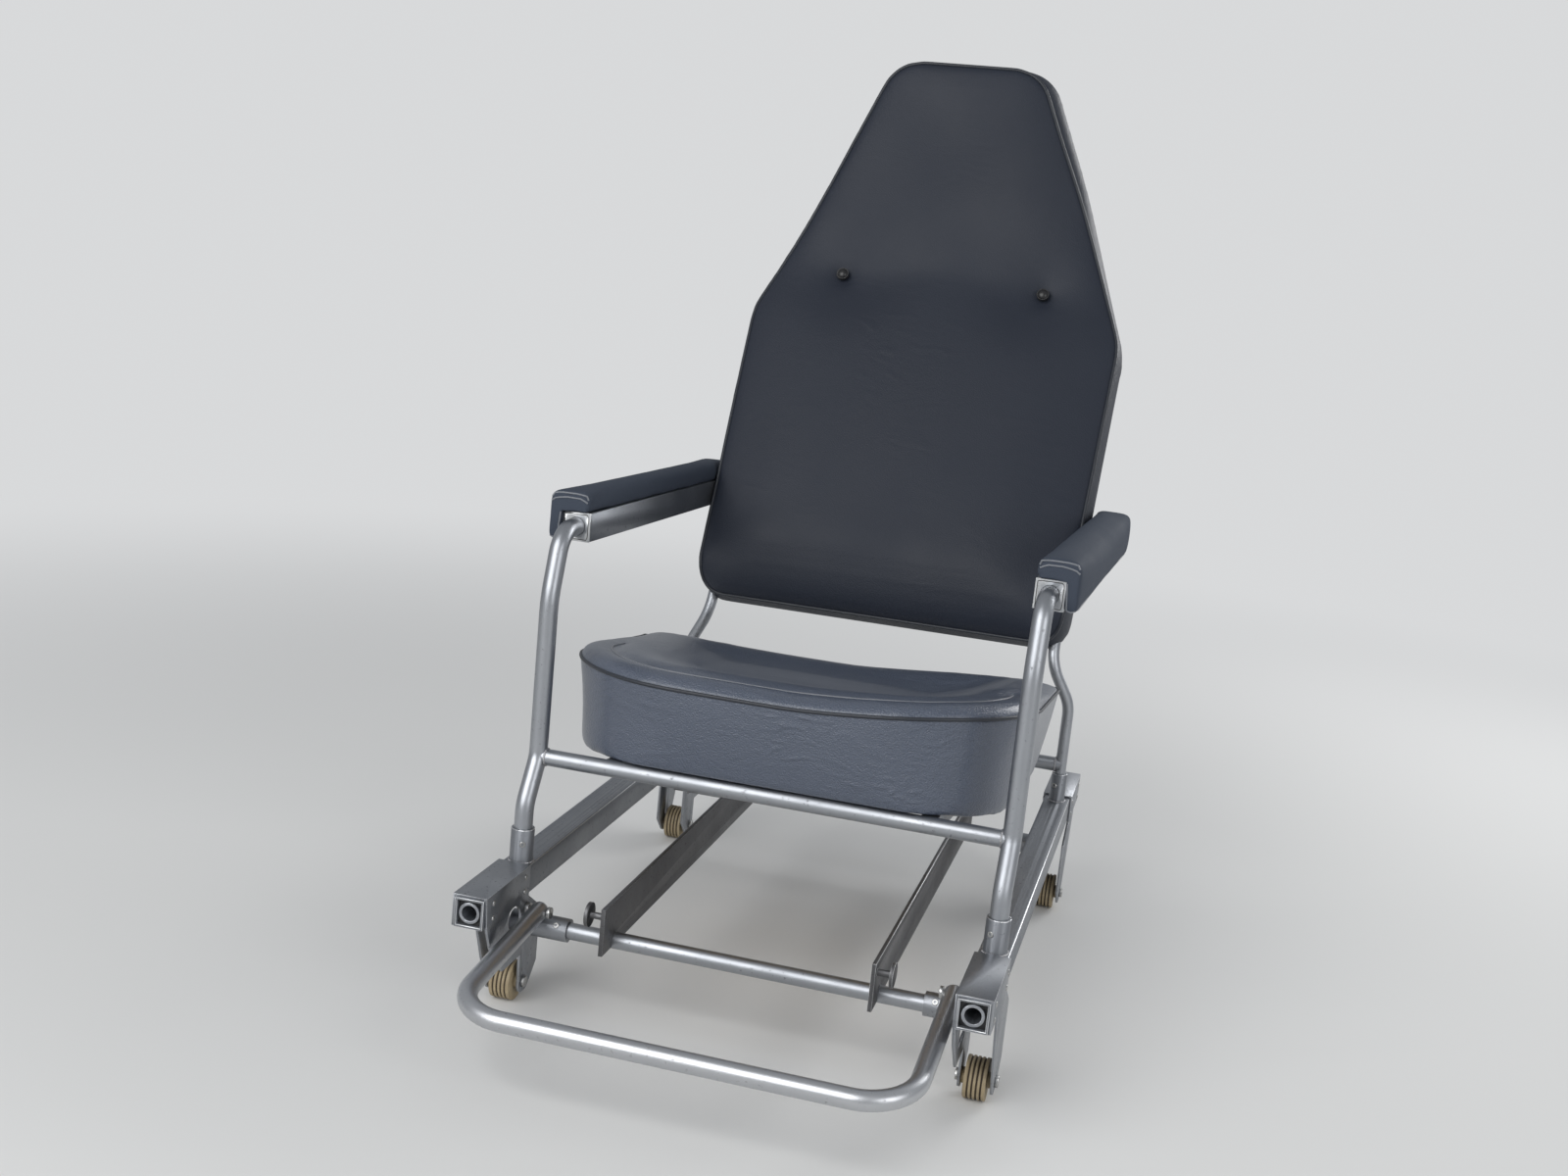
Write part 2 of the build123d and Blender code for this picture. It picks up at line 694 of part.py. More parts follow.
# Catch plates: flat bars on edge, notched over the lower cross tubes, with a mushroom pin
# standing out at each end
outer_face = catch_x + catch_plate / 2
pin_steps = (
    (outer_face, outer_face + catch_neck, catch_neck_r),
    (outer_face + catch_neck, outer_face + catch_neck + catch_head, catch_head_r),
)
for side, s in SIDES:
    with BuildPart() as catch:
        with BuildSketch(Plane.YZ.offset(s * catch_x - catch_plate / 2)):
            with Locations((at(runner_length / 2), up(-(catch_low + catch_high) / 2))):
                Rectangle(runner_length - 2 * catch_front, catch_low - catch_high)
            for y in (cross_y, runner_length - cross_y):
                with Locations((at(y), up(-cross_drop))):
                    Circle(cross_r + slip, mode=Mode.SUBTRACT)
                    Rectangle(2 * (cross_r + slip), 2 * cross_r, align=(Align.CENTER, Align.MAX), mode=Mode.SUBTRACT)
        extrude(amount=catch_plate)
        for y in (catch_pin_y, runner_length - catch_pin_y):
            for inner, outer, radius in pin_steps:
                with BuildSketch(Plane.YZ.offset(min(s * inner, s * outer))):
                    with Locations((at(y), up(-catch_pin_drop))):
                        Circle(radius)
                extrude(amount=outer - inner)
    write(catch.part, f"catch_plate_{side}")
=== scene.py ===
from math import cos, pi, radians, sin, tan

import bmesh
import bpy
import numpy as np
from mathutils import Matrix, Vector
from mathutils.bvhtree import BVHTree


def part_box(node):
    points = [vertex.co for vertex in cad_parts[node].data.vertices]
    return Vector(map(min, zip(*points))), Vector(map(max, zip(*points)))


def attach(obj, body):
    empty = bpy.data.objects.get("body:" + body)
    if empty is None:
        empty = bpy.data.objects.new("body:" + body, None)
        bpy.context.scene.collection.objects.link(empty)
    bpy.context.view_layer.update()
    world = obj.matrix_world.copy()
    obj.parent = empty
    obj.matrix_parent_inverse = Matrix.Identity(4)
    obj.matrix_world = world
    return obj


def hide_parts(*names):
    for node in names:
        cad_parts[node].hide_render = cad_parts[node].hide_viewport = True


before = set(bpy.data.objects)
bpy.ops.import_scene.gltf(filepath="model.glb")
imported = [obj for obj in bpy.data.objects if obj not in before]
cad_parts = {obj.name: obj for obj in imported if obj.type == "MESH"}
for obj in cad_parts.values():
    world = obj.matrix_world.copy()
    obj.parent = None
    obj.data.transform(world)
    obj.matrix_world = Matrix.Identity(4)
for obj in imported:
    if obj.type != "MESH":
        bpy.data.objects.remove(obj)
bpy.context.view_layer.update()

# Room: a pale floor and an even, soft studio light. The camera has the photograph's place,
# turn and field of view, and the chair stands on the floor and faces -Y.
scene = bpy.context.scene
scene.view_settings.view_transform = "Standard"

camera_data = bpy.data.cameras.new("camera")
camera_data.sensor_width = 36.0
camera_data.lens = 40.6
camera = bpy.data.objects.new("camera", camera_data)
camera.location = (0.4691, -2.1756, 0.927)
camera.rotation_euler = (radians(78.582), radians(-5.564), radians(15.146))
scene.collection.objects.link(camera)
scene.camera = camera


def new_object(name, mesh):
    piece = bpy.data.objects.new(name, mesh)
    scene.collection.objects.link(piece)
    return piece


def feed(tree, node, fed):
    """Gives each named input of a node a plain value, or the output that feeds it."""
    for key, value in fed.items():
        if isinstance(value, bpy.types.NodeSocket):
            tree.links.new(value, node.inputs[key])
        else:
            node.inputs[key].default_value = value


def add(tree, kind, fed=None, **settings):
    node = tree.nodes.new(kind)
    for key, value in settings.items():
        setattr(node, key, value)
    feed(tree, node, fed or {})
    return node


def shade(material, fed):
    """Feeds the shader of a material: plain values stand on its own sockets."""
    tree = material.node_tree
    feed(tree, tree.nodes["Principled BSDF"], fed)


def new_material(name, colour, roughness, metallic=0.0):
    made = bpy.data.materials.new(name)
    made.use_nodes = True
    shade(made, {"Base Color": (*colour, 1.0), "Roughness": roughness, "Metallic": metallic})
    return made


def math_node(tree, operation, first, second):
    return add(tree, "ShaderNodeMath", {0: first, 1: second}, operation=operation).outputs[0]


def spread(tree, value, start, end, low=0.0, high=1.0, **settings):
    """A value between start and end, spread from low to high."""
    fed = {"Value": value, "From Min": start, "From Max": end, "To Min": low, "To Max": high}
    return add(tree, "ShaderNodeMapRange", fed, **settings).outputs[0]


def object_place(tree):
    return add(tree, "ShaderNodeTexCoord").outputs["Object"]


def seen_rays(tree):
    """1 where the camera sees the surface, straight or through something clear."""
    rays = add(tree, "ShaderNodeLightPath").outputs
    return math_node(tree, "MAXIMUM", rays["Is Camera Ray"], rays["Is Transmission Ray"])


floor_reach = 14.0
floor_mesh = bpy.data.meshes.new("studio_floor")
floor_corners = [(x * floor_reach, y * floor_reach, 0.0) for x, y in ((-1, -1), (1, -1), (1, 1), (-1, 1))]
floor_mesh.from_pydata(floor_corners, [], [(0, 1, 2, 3)])
floor = new_object("studio_floor", floor_mesh)
paper = new_material("studio_paper", (0.70, 0.70, 0.69), 0.9)
floor.data.materials.append(paper)

world = bpy.data.worlds.new("studio")
scene.world = world
world.use_nodes = True
sky = world.node_tree
sky.nodes.clear()
backdrop = {"Color": (0.80, 0.81, 0.82, 1.0), "Strength": 0.86}
room_light = add(sky, "ShaderNodeBackground", {"Color": (0.93, 0.96, 1.0, 1.0), "Strength": 0.42})
room_shown = add(sky, "ShaderNodeBackground", backdrop)
room = add(sky, "ShaderNodeMixShader", {
    "Fac": seen_rays(sky), 1: room_light.outputs[0], 2: room_shown.outputs[0],
})
add(sky, "ShaderNodeOutputWorld", {"Surface": room.outputs[0]})

# The floor's far part takes the backdrop's colour, so that no edge shows between them.
sheet = paper.node_tree
from_chair = add(sheet, "ShaderNodeVectorMath", {0: object_place(sheet)}, operation="LENGTH")
far = spread(sheet, from_chair.outputs["Value"], 0.9, 3.4, interpolation_type="SMOOTHSTEP")
faded = add(sheet, "ShaderNodeMixShader", {
    "Fac": math_node(sheet, "MULTIPLY", far, seen_rays(sheet)),
    1: sheet.nodes["Principled BSDF"].outputs[0],
    2: add(sheet, "ShaderNodeEmission", backdrop).outputs[0],
})
sheet.links.new(faded.outputs[0], sheet.nodes["Material Output"].inputs["Surface"])

lamps_aim = Vector((0.0, 0.0, 0.55))
for name, place, size, watts in (
    ("lamp_door", (-1.2, -2.8, 2.25), 3.2, 82.0),
    ("lamp_front", (2.5, -2.0, 1.5), 1.9, 22.0),
    ("lamp_window", (1.7, 2.2, 1.7), 1.6, 34.0),
):
    lamp_data = bpy.data.lights.new(name, "AREA")
    lamp_data.shape = "DISK"
    lamp_data.size = size
    lamp_data.energy = watts
    lamp = bpy.data.objects.new(name, lamp_data)
    lamp.location = place
    lamp.rotation_euler = (lamps_aim - Vector(place)).to_track_quat("-Z", "Y").to_euler()
    scene.collection.objects.link(lamp)

# Runners: two square aluminium tubes that carry everything. Each has a sleeve welded on
# top at both ends, drilled for a set screw that holds the upright in it.
MM = 0.001
half_gauge = 0.285
runner_height = 0.150
half_runner = 0.0175
front_end, rear_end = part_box("runner_left")[0].y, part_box("runner_left")[1].y


def node_group(kind, name, inputs, outputs):
    """A group of nodes with named sockets; gives the group and the outputs of its input node."""
    group = bpy.data.node_groups.new(name, kind)
    for in_out, sockets in (("INPUT", inputs), ("OUTPUT", outputs)):
        for label, socket in sockets.items():
            group.interface.new_socket(name=label, in_out=in_out, socket_type=f"NodeSocket{socket}")
    return group, add(group, "NodeGroupInput").outputs


def noise(tree, place, scale, detail, roughness=0.5, **settings):
    fed = {"Vector": place, "Scale": scale, "Detail": detail, "Roughness": roughness}
    return add(tree, "ShaderNodeTexNoise", fed, **settings).outputs["Fac"]


def blend_colours(tree, factor, dark, light):
    fed = {"Factor": factor}
    for slot, colour in ((6, dark), (7, light)):
        fed[slot] = (*colour, 1.0) if isinstance(colour, tuple) else colour
    return add(tree, "ShaderNodeMix", fed, data_type="RGBA").outputs[2]


def relief_of(tree, height, strength, depth):
    fed = {"Height": height, "Strength": strength, "Distance": depth}
    return add(tree, "ShaderNodeBump", fed).outputs[0]


# Handling marks on metal: long fine scratches, dull patches and specks of dirt.
marks, given = node_group(
    "ShaderNodeTree", "handling_marks",
    {"Patch Scale": "Float", "Scratch Scale": "Float"},
    {"Patches": "Float", "Scratches": "Float", "Specks": "Float"},
)
where = object_place(marks)
stretch = add(marks, "ShaderNodeMapping", {
    "Vector": where, "Scale": (0.05, 0.05, 1.0), "Rotation": (0.5, 0.35, 0.0),
})
add(marks, "NodeGroupOutput", {
    "Patches": noise(marks, where, given["Patch Scale"], 6.0, 0.62),
    "Scratches": noise(marks, stretch.outputs[0], given["Scratch Scale"], 3.0),
    "Specks": spread(marks, noise(marks, where, 210.0, 4.0), 0.63, 0.74),
})


def metal(name, colour, dull, roughness, uneven, dirt=0.5, relief=0.08):
    """Worn bare metal: bright where it is rubbed, dull in patches, with fine scratches."""
    made = new_material(name, colour, roughness, 1.0)
    tree = made.node_tree
    scales = {"Patch Scale": 11.0, "Scratch Scale": 700.0}
    worn = add(tree, "ShaderNodeGroup", scales, node_tree=marks).outputs
    patches = worn["Patches"]
    grime = math_node(tree, "MULTIPLY", worn["Specks"], dirt)
    rough = spread(tree, patches, 0.3, 0.7, roughness - uneven, roughness + uneven)
    clean = blend_colours(tree, patches, colour, dull)
    shade(made, {
        "Base Color": blend_colours(tree, grime, clean, (0.09, 0.085, 0.08)),
        "Roughness": math_node(tree, "ADD", rough, grime),
        "Normal": relief_of(tree, worn["Scratches"], relief, 0.4 * MM),
    })
    return made


anodised = metal("anodised_tube", (0.33, 0.345, 0.37), (0.22, 0.23, 0.25), 0.46, 0.07, 0.4, 0.05)
satin_tube = metal("satin_tube", (0.43, 0.445, 0.47), (0.33, 0.345, 0.37), 0.40, 0.07, 0.3, 0.05)
rubbed_edge = metal("rubbed_edge", (0.74, 0.75, 0.76), (0.60, 0.61, 0.62), 0.34, 0.06, 0.2, 0.03)


def evaluated_mesh(piece):
    """The piece's mesh with its modifiers applied."""
    bpy.context.view_layer.update()
    graph = bpy.context.evaluated_depsgraph_get()
    return bpy.data.meshes.new_from_object(piece.evaluated_get(graph), depsgraph=graph)


def settle(piece):
    """Applies a piece's modifiers and takes them off."""
    piece.data = evaluated_mesh(piece)
    piece.modifiers.clear()


def smooth_faces(mesh, sharp_above=None):
    mesh.polygons.foreach_set("use_smooth", [True] * len(mesh.polygons))
    if sharp_above:
        mesh.set_sharp_from_angle(angle=radians(sharp_above))


def finished(node, name, finish, edge=0, rim=None, body="chair"):
    """A copy of a CAD piece with its edges broken, as filing or forming leaves them; the
    broken edges may have a finish of their own, where handling has rubbed them bright."""
    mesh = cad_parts[node].data.copy()
    mesh.materials.clear()
    for face_finish in (finish, rim) if rim else (finish,):
        mesh.materials.append(face_finish)
    shape = bmesh.new()
    shape.from_mesh(mesh)
    for face in shape.faces:
        face.material_index = 0
    bmesh.ops.remove_doubles(shape, verts=shape.verts, dist=2e-6)
    bmesh.ops.dissolve_limit(shape, angle_limit=radians(0.6), verts=shape.verts, edges=shape.edges)
    shape.to_mesh(mesh)
    shape.free()
    piece = new_object(name, mesh)
    if edge:
        bevel = piece.modifiers.new("broken_edge", "BEVEL")
        bevel.width = edge * MM
        bevel.segments = 2
        bevel.limit_method = "ANGLE"
        bevel.angle_limit = radians(40)
        bevel.harden_normals = True
        if rim:
            bevel.material = 1
    settle(piece)
    piece.data.name = name
    smooth_faces(piece.data, 42)
    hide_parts(node)
    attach(piece, body)
    return piece


for side in ("left", "right"):
    finished(f"runner_{side}", f"runner_tube_{side}", anodised, 0.8, rubbed_edge)


def turned(profile, sides=24):
    """Mesh turned round Z through rings of (radius, height) in millimetres; a third number
    gives the ring that many corners, such as 6 for a hexagon."""
    shape = bmesh.new()
    loops = []
    for radius, height, *corners in profile:
        loop = []
        for step in range(sides):
            turn = 2 * pi * step / sides
            reach = radius * MM
            if corners:
                part = pi / corners[0]
                reach *= cos(part) / cos((turn + part) % (2 * part) - part)
            loop.append(shape.verts.new((reach * cos(turn), reach * sin(turn), height * MM)))
        loops.append(loop)
    for lower, upper in zip(loops, loops[1:]):
        for step in range(sides):
            after = (step + 1) % sides
            shape.faces.new((lower[step], lower[after], upper[after], upper[step]))
    shape.faces.new(list(reversed(loops[0])))
    shape.faces.new(loops[-1])
    bmesh.ops.recalc_face_normals(shape, faces=shape.faces)
    mesh = bpy.data.meshes.new("turned")
    shape.to_mesh(mesh)
    shape.free()
    smooth_faces(mesh, 32)
    return mesh


def end_tree(tree, geometry, finish):
    """Makes a tree's instances real, gives them their material and puts them out."""
    real = add(tree, "GeometryNodeRealizeInstances", {0: geometry})
    dressed = add(tree, "GeometryNodeSetMaterial", {0: real.outputs[0], "Material": finish})
    add(tree, "NodeGroupOutput", {0: dressed.outputs[0]})


# Geometry Nodes tree that sets one fastener on each point of a mesh, standing along the
# point's own direction.
fastening, given = node_group(
    "GeometryNodeTree", "fasteners_in_place",
    {"Geometry": "Geometry", "Fastener": "Object", "Size": "Float", "Seed": "Int", "Finish": "Material"},
    {"Geometry": "Geometry"},
)
sample = add(fastening, "GeometryNodeObjectInfo", {"Object": given["Fastener"]})
aim = add(fastening, "GeometryNodeInputNamedAttribute", {"Name": "aim"}, data_type="FLOAT_VECTOR")
aimed = add(fastening, "FunctionNodeAlignRotationToVector", {"Vector": aim.outputs["Attribute"]}, axis="Z")
spin = add(fastening, "FunctionNodeRandomValue", {3: 6.28, "Seed": given["Seed"]}, data_type="FLOAT")
spun = add(fastening, "FunctionNodeRotateRotation", {
    "Rotation": aimed.outputs["Rotation"],
    "Rotate By": add(fastening, "ShaderNodeCombineXYZ", {"Z": spin.outputs[1]}).outputs[0],
}, rotation_space="LOCAL")
in_place = add(fastening, "GeometryNodeInstanceOnPoints", {
    "Points": given["Geometry"],
    "Instance": sample.outputs["Geometry"],
    "Rotation": spun.outputs[0],
    "Scale": given["Size"],
})
end_tree(fastening, in_place.outputs[0], given["Finish"])


def piece_from(worker, tree, values):
    """Replaces a worker object by the plain mesh that a Geometry Nodes tree makes of it."""
    sockets = {
        item.name: item.identifier for item in tree.interface.items_tree
        if item.item_type == "SOCKET" and item.in_out == "INPUT"
    }
    setting = worker.modifiers.new("tree", "NODES")
    setting.node_group = tree
    for name, value in values.items():
        setting[sockets[name]] = value
    mesh = evaluated_mesh(worker)
    if "aim" in mesh.attributes:
        mesh.attributes.remove(mesh.attributes["aim"])
    name = worker.name
    bpy.data.objects.remove(worker)
    mesh.name = name
    piece = new_object(name, mesh)
    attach(piece, "chair")
    return piece


def fasteners(name, shape, places, finish, seed):
    """Copies of a small turned piece at (place, direction) pairs, as one mesh."""
    pattern = new_object(f"{name}_pattern", shape)
    points = bpy.data.meshes.new(name)
    points.from_pydata([tuple(place) for place, _ in places], [], [])
    aims = points.attributes.new("aim", "FLOAT_VECTOR", "POINT")
    aims.data.foreach_set("vector", [c for _, direction in places for c in direction])
    values = {"Fastener": pattern, "Size": 1.0, "Seed": seed, "Finish": finish}
    piece = piece_from(new_object(name, points), fastening, values)
    bpy.data.objects.remove(pattern)
    return piece


screw_steel = metal("screw_steel", (0.56, 0.56, 0.55), (0.38, 0.38, 0.37), 0.30, 0.06, 0.2, 0.03)
post_radius, rear_tube_radius = 0.011, 0.010
post_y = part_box("front_post_left")[0].y + post_radius
upright_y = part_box("seat_rear_tube")[0].y + rear_tube_radius
set_screw_z = 0.191
set_screw = turned(((3.6, -1.6), (3.6, 0.5), (3.1, 1.0), (1.9, 1.0, 6), (1.8, -1.2, 6), (0.5, -1.4, 6)))
screw_places = []
for s in (-1, 1):
    for y, sleeve_radius in ((post_y, 0.014), (upright_y, 0.011)):
        outward = Vector((-s * 0.42, -0.91, 0.0)).normalized()
        screw_places.append((Vector((s * half_gauge, y, set_screw_z)) + outward * sleeve_radius, outward))
fasteners("sleeve_set_screws", set_screw, screw_places, screw_steel, 1)

# Geometry Nodes tree that runs a bead of overlapping weld ripples along a curve.
welding, given = node_group(
    "GeometryNodeTree", "weld_bead",
    {"Geometry": "Geometry", "Ripple": "Float", "Pitch": "Float", "Seed": "Int", "Finish": "Material"},
    {"Geometry": "Geometry"},
)
along = add(welding, "GeometryNodeCurveToPoints", {
    "Curve": given["Geometry"], "Length": given["Pitch"],
}, mode="LENGTH")
drop = add(welding, "GeometryNodeMeshIcoSphere", {"Radius": given["Ripple"], "Subdivisions": 2})
sizes = add(welding, "FunctionNodeRandomValue", {2: 0.82, 3: 1.12, "Seed": given["Seed"]}, data_type="FLOAT")
bead = add(welding, "GeometryNodeInstanceOnPoints", {
    "Points": along.outputs["Points"], "Instance": drop.outputs["Mesh"], "Scale": sizes.outputs[1],
})
melted = add(welding, "GeometryNodeSetShadeSmooth", {0: bead.outputs[0]})
end_tree(welding, melted.outputs[0], given["Finish"])


def path_object(name, runs):
    """Poly curve object through lists of points; each run is (points, closed)."""
    data = bpy.data.curves.new(name, "CURVE")
    data.dimensions = "3D"
    for points, closed in runs:
        spline = data.splines.new("POLY")
        spline.points.add(len(points) - 1)
        for place, point in zip(points, spline.points):
            point.co = (*place, 1.0)
        spline.use_cyclic_u = closed
    return new_object(name, data)


def circle(centre, axis, radius, steps=40):
    """Points round a circle that faces along the axis, as a closed run."""
    facing = Vector((0, 0, 1)).rotation_difference(Vector(axis))
    points = []
    for i in range(steps):
        turn = 2 * pi * i / steps
        points.append(Vector(centre) + facing @ Vector((radius * cos(turn), radius * sin(turn), 0)))
    return points, True


weld_metal = metal("weld_metal", (0.50, 0.50, 0.51), (0.34, 0.34, 0.35), 0.42, 0.08)


def weld(name, runs, ripple):
    """A weld bead along each run, with ripples of one radius in millimetres."""
    values = {"Ripple": ripple * MM, "Pitch": ripple * MM * 0.85, "Seed": 4, "Finish": weld_metal}
    piece_from(path_object(name, runs), welding, values)


weld("sleeve_welds", [
    circle((s * half_gauge, y, runner_height + half_runner), (0, 0, 1), bead_radius)
    for s in (-1, 1) for y, bead_radius in ((post_y, 0.0145), (upright_y, 0.0115))
], 1.7)

# Saddles: folded aluminium plates round the runners' ends. The inner cheek has an arched
# window and a sleeve for the cross tube, and both cheeks hold the roller's bolt.
bright_plate = metal("bright_plate", (0.40, 0.415, 0.44), (0.25, 0.26, 0.28), 0.42, 0.09, 0.5, 0.05)
corners = [(end, side) for end in ("front", "rear") for side in ("left", "right")]
for end, side in corners:
    finished(f"saddle_{end}_{side}", f"saddle_{end}_{side}_plate", bright_plate, 0.6, rubbed_edge)


def middle_of(node):
    return [(low + high) / 2 for low, high in zip(*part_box(node))]


cross_front_y, cross_rear_y = (middle_of(f"lower_cross_tube_{end}")[1] for end in ("front", "rear"))
cross_z = 0.093
cheek_inner, cheek_outer = 0.2645, 0.3055
weld("cross_sleeve_welds", [
    circle((s * cheek_inner, y, cross_z), (1, 0, 0), 0.0148)
    for s in (-1, 1) for y in (cross_front_y, cross_rear_y)
], 1.6)
rivet = turned(((3.4, -0.8), (3.4, 0.2), (2.9, 0.9), (1.7, 1.4), (0.4, 1.55)))
rivet_places = []
for s in (-1, 1):
    for inward, end in ((1, front_end), (-1, rear_end)):
        for along, height in ((22, 0.159), (112, 0.159), (22, 0.141), (112, 0.141)):
            y = end + inward * along * MM
            rivet_places.append((Vector((s * cheek_outer, y, height)), Vector((s, 0, 0))))
            rivet_places.append((Vector((s * cheek_inner, y, height)), Vector((-s, 0, 0))))
fasteners("saddle_rivets", rivet, rivet_places, screw_steel, 2)


# Rollers: ribbed rollers turned from tan plastic, with painted shade in the grooves. Each runs on a steel
# bolt through the fork of its saddle.
def mottled(name, mean, dark, light, roughness, scale, detail, stretched=None):
    """A plain material whose colour wanders between two tones; gives its pattern too."""
    made = new_material(name, mean, roughness)
    tree = made.node_tree
    place = object_place(tree)
    if stretched:
        place = add(tree, "ShaderNodeMapping", {"Vector": place, "Scale": stretched}).outputs[0]
    pattern = noise(tree, place, scale, detail)
    shade(made, {"Base Color": blend_colours(tree, pattern, dark, light)})
    return made, pattern


roller_plastic, _ = mottled(
    "roller_plastic", (0.40, 0.32, 0.20), (0.47, 0.38, 0.24), (0.22, 0.17, 0.10), 0.55, 90.0, 5.0)
# A dark brown for the faces down in the rollers' grooves: painted shade between the ribs.
roller_grime = new_material("roller_grime", (0.060, 0.045, 0.030), 0.8)
rib_height = 0.9 * MM
for end, side in corners:
    node = f"roller_{end}_{side}"
    tread = finished(node, f"{node}_tread", roller_plastic, 0.4, body=node)
    tread.data.materials.append(roller_grime)
    _, hub_y, hub_z = middle_of(node)
    tread_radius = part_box(node)[1].z - hub_z
    # The recessed faces between the ribs take the painted shade.
    for face in tread.data.polygons:
        reach = ((face.center.y - hub_y) ** 2 + (face.center.z - hub_z) ** 2) ** 0.5
        if 0.6 * tread_radius < reach < tread_radius - rib_height and abs(face.normal.x) < 0.9:
            face.material_index = 1
finished("roller_axles", "roller_bolts", screw_steel, 0.4)

# Lower cross tubes: two round aluminium tubes that tie the saddles across the chair. Each end
# stands in a saddle's sleeve and is held there by a set screw.
for end in ("front", "rear"):
    finished(f"lower_cross_tube_{end}", f"cross_tube_{end}", satin_tube)
sleeve_middle, sleeve_radius = 0.228, 0.014
cross_screws = []
for s in (-1, 1):
    for y, facing in ((cross_front_y, -1), (cross_rear_y, 1)):
        outward = Vector((0, facing * 0.80, 0.60)).normalized()
        cross_screws.append((Vector((s * sleeve_middle, y, cross_z)) + outward * sleeve_radius, outward))
fasteners("cross_sleeve_screws", set_screw.copy(), cross_screws, screw_steel, 5)

# Front posts and back uprights: bent aluminium tubes. The posts run from the runners' sleeves
# up into the armrests, and the thinner uprights into the padding, where two bars tie them.
for side in ("left", "right"):
    finished(f"front_post_{side}", f"post_{side}", satin_tube)
    finished(f"back_upright_{side}", f"upright_{side}", satin_tube)
finished("back_arm_bar", "arm_bar", satin_tube)
finished("back_top_bar", "top_bar", satin_tube)

# Seat frame: a front and a rear aluminium tube, coped and welded to the posts and uprights,
# with two square bearers between them that carry the seat.
finished("seat_front_tube", "seat_tube_front", satin_tube)
finished("seat_rear_tube", "seat_tube_rear", satin_tube)
finished("seat_bearers", "bearer_tubes", anodised, 0.8)
_, seat_front_y, seat_front_z = middle_of("seat_front_tube")
seat_rear_z = middle_of("seat_rear_tube")[2]
seat_bead_radius = 0.0098
weld("seat_tube_welds", [
    circle((s * (half_gauge - inset), y, z), (1, 0, 0), seat_bead_radius)
    for inset, y, z in ((0.0112, seat_front_y, seat_front_z), (0.0082, upright_y, seat_rear_z))
    for s in (-1, 1)
], 1.4)

# Seat board: a sheet of plywood, sawn to the seat's shape and let into the underside of the
# cushion. It lies on the bearers.
along_grain = (5.0, 60.0, 60.0)
plywood, _ = mottled(
    "seat_plywood", (0.42, 0.30, 0.17), (0.50, 0.37, 0.22), (0.30, 0.20, 0.11), 0.6, 2.0, 8.0, along_grain)
finished("seat_board", "seat_plywood_board", plywood, 0.5)


# Seat cushion: foam in grey vinyl. The top panel is sewn to a front roll, and the roll to
# the side band with a piping, which the cloth simulation keeps in place while it swells.
def rounded(corners, radii, gap):
    """Closed outline through corners in a plane, with rounded corners and even spacing."""
    outline = []
    count = len(corners)
    for i in range(count):
        corner = np.array(corners[i], float)
        before = np.array(corners[i - 1], float) - corner
        after = np.array(corners[(i + 1) % count], float) - corner
        before, after = before / np.linalg.norm(before), after / np.linalg.norm(after)
        if np.linalg.norm(before + after) < 1e-6:
            outline.append(corner)
            continue
        half_turn = np.arccos(np.clip(before @ after, -1, 1)) / 2
        radius = max(radii[i], 1e-6)
        middle = corner + (before + after) / np.linalg.norm(before + after) * radius / sin(half_turn)
        start = corner + before * radius / tan(half_turn) - middle
        sweep = pi - 2 * half_turn
        side = 1 if before[0] * after[1] - before[1] * after[0] < 0 else -1
        steps = max(2, int(radius * sweep / gap))
        for k in range(steps + 1):
            turn = side * sweep * k / steps
            outline.append(middle + np.array((
                start[0] * cos(turn) - start[1] * sin(turn), start[0] * sin(turn) + start[1] * cos(turn)
            )))
    return np.array(outline)


def evenly(outline, count):
    """The closed outline again, with count points at equal distances."""
    ring = np.vstack((outline, outline[:1]))
    along = np.concatenate(((0,), np.cumsum(np.linalg.norm(np.diff(ring, axis=0), axis=1))))
    wanted = np.linspace(0, along[-1], count, endpoint=False)
    return np.stack([np.interp(wanted, along, ring[:, axis]) for axis in range(ring.shape[1])], axis=1)


def loft(rings, zipped=False):
    """Closed mesh through rings with equal numbers of points. Each end is closed by a fan, or
    zipped across where the ring is the same left and right of its first point."""
    count = len(rings[0])
    points = [tuple(p) for ring in rings for p in ring]
    faces = []
    for start in range(0, (len(rings) - 1) * count, count):
        for i in range(count):
            j = (i + 1) % count
            faces.append((start + i, start + j, start + count + j, start + count + i))
    for start in (0, (len(rings) - 1) * count):
        if zipped:
            end, half = start + count, count // 2
            faces.append((start, start + 1, end - 1))
            faces.extend((start + i, start + i + 1, end - i - 1, end - i) for i in range(1, half - 1))
            faces.append((start + half - 1, start + half, start + half + 1))
            continue
        points.append(tuple(np.mean(rings[start // count], axis=0)))
        faces.extend((start + i, start + (i + 1) % count, len(points) - 1) for i in range(count))
    mesh = bpy.data.meshes.new("loft")
    mesh.from_pydata(points, [], faces)
    shape = bmesh.new()
    shape.from_mesh(mesh)
    bmesh.ops.recalc_face_normals(shape, faces=shape.faces)
    shape.to_mesh(mesh)
    shape.free()
    return mesh


def places_of(mesh):
    places = np.empty(len(mesh.vertices) * 3)
    mesh.vertices.foreach_get("co", places)
    return places.reshape(-1, 3)


def nearness(places, lines, reach):
    """1 on the sewn lines, falling to 0 at reach from them."""
    nearest = np.full(len(places), 1e9)
    for line in lines:
        for start in range(0, len(line), 64):
            part = line[start:start + 64]
            gaps = np.linalg.norm(places[:, None, :] - part[None, :, :], axis=2)
            nearest = np.minimum(nearest, gaps.min(axis=1))
    return np.clip(1 - nearest / reach, 0, 1)


def remeshed(piece, cell):
    """Gives a shell even cells, small enough for cloth."""
    cells = piece.modifiers.new("cells", "REMESH")
    cells.mode = "VOXEL"
    cells.voxel_size = cell


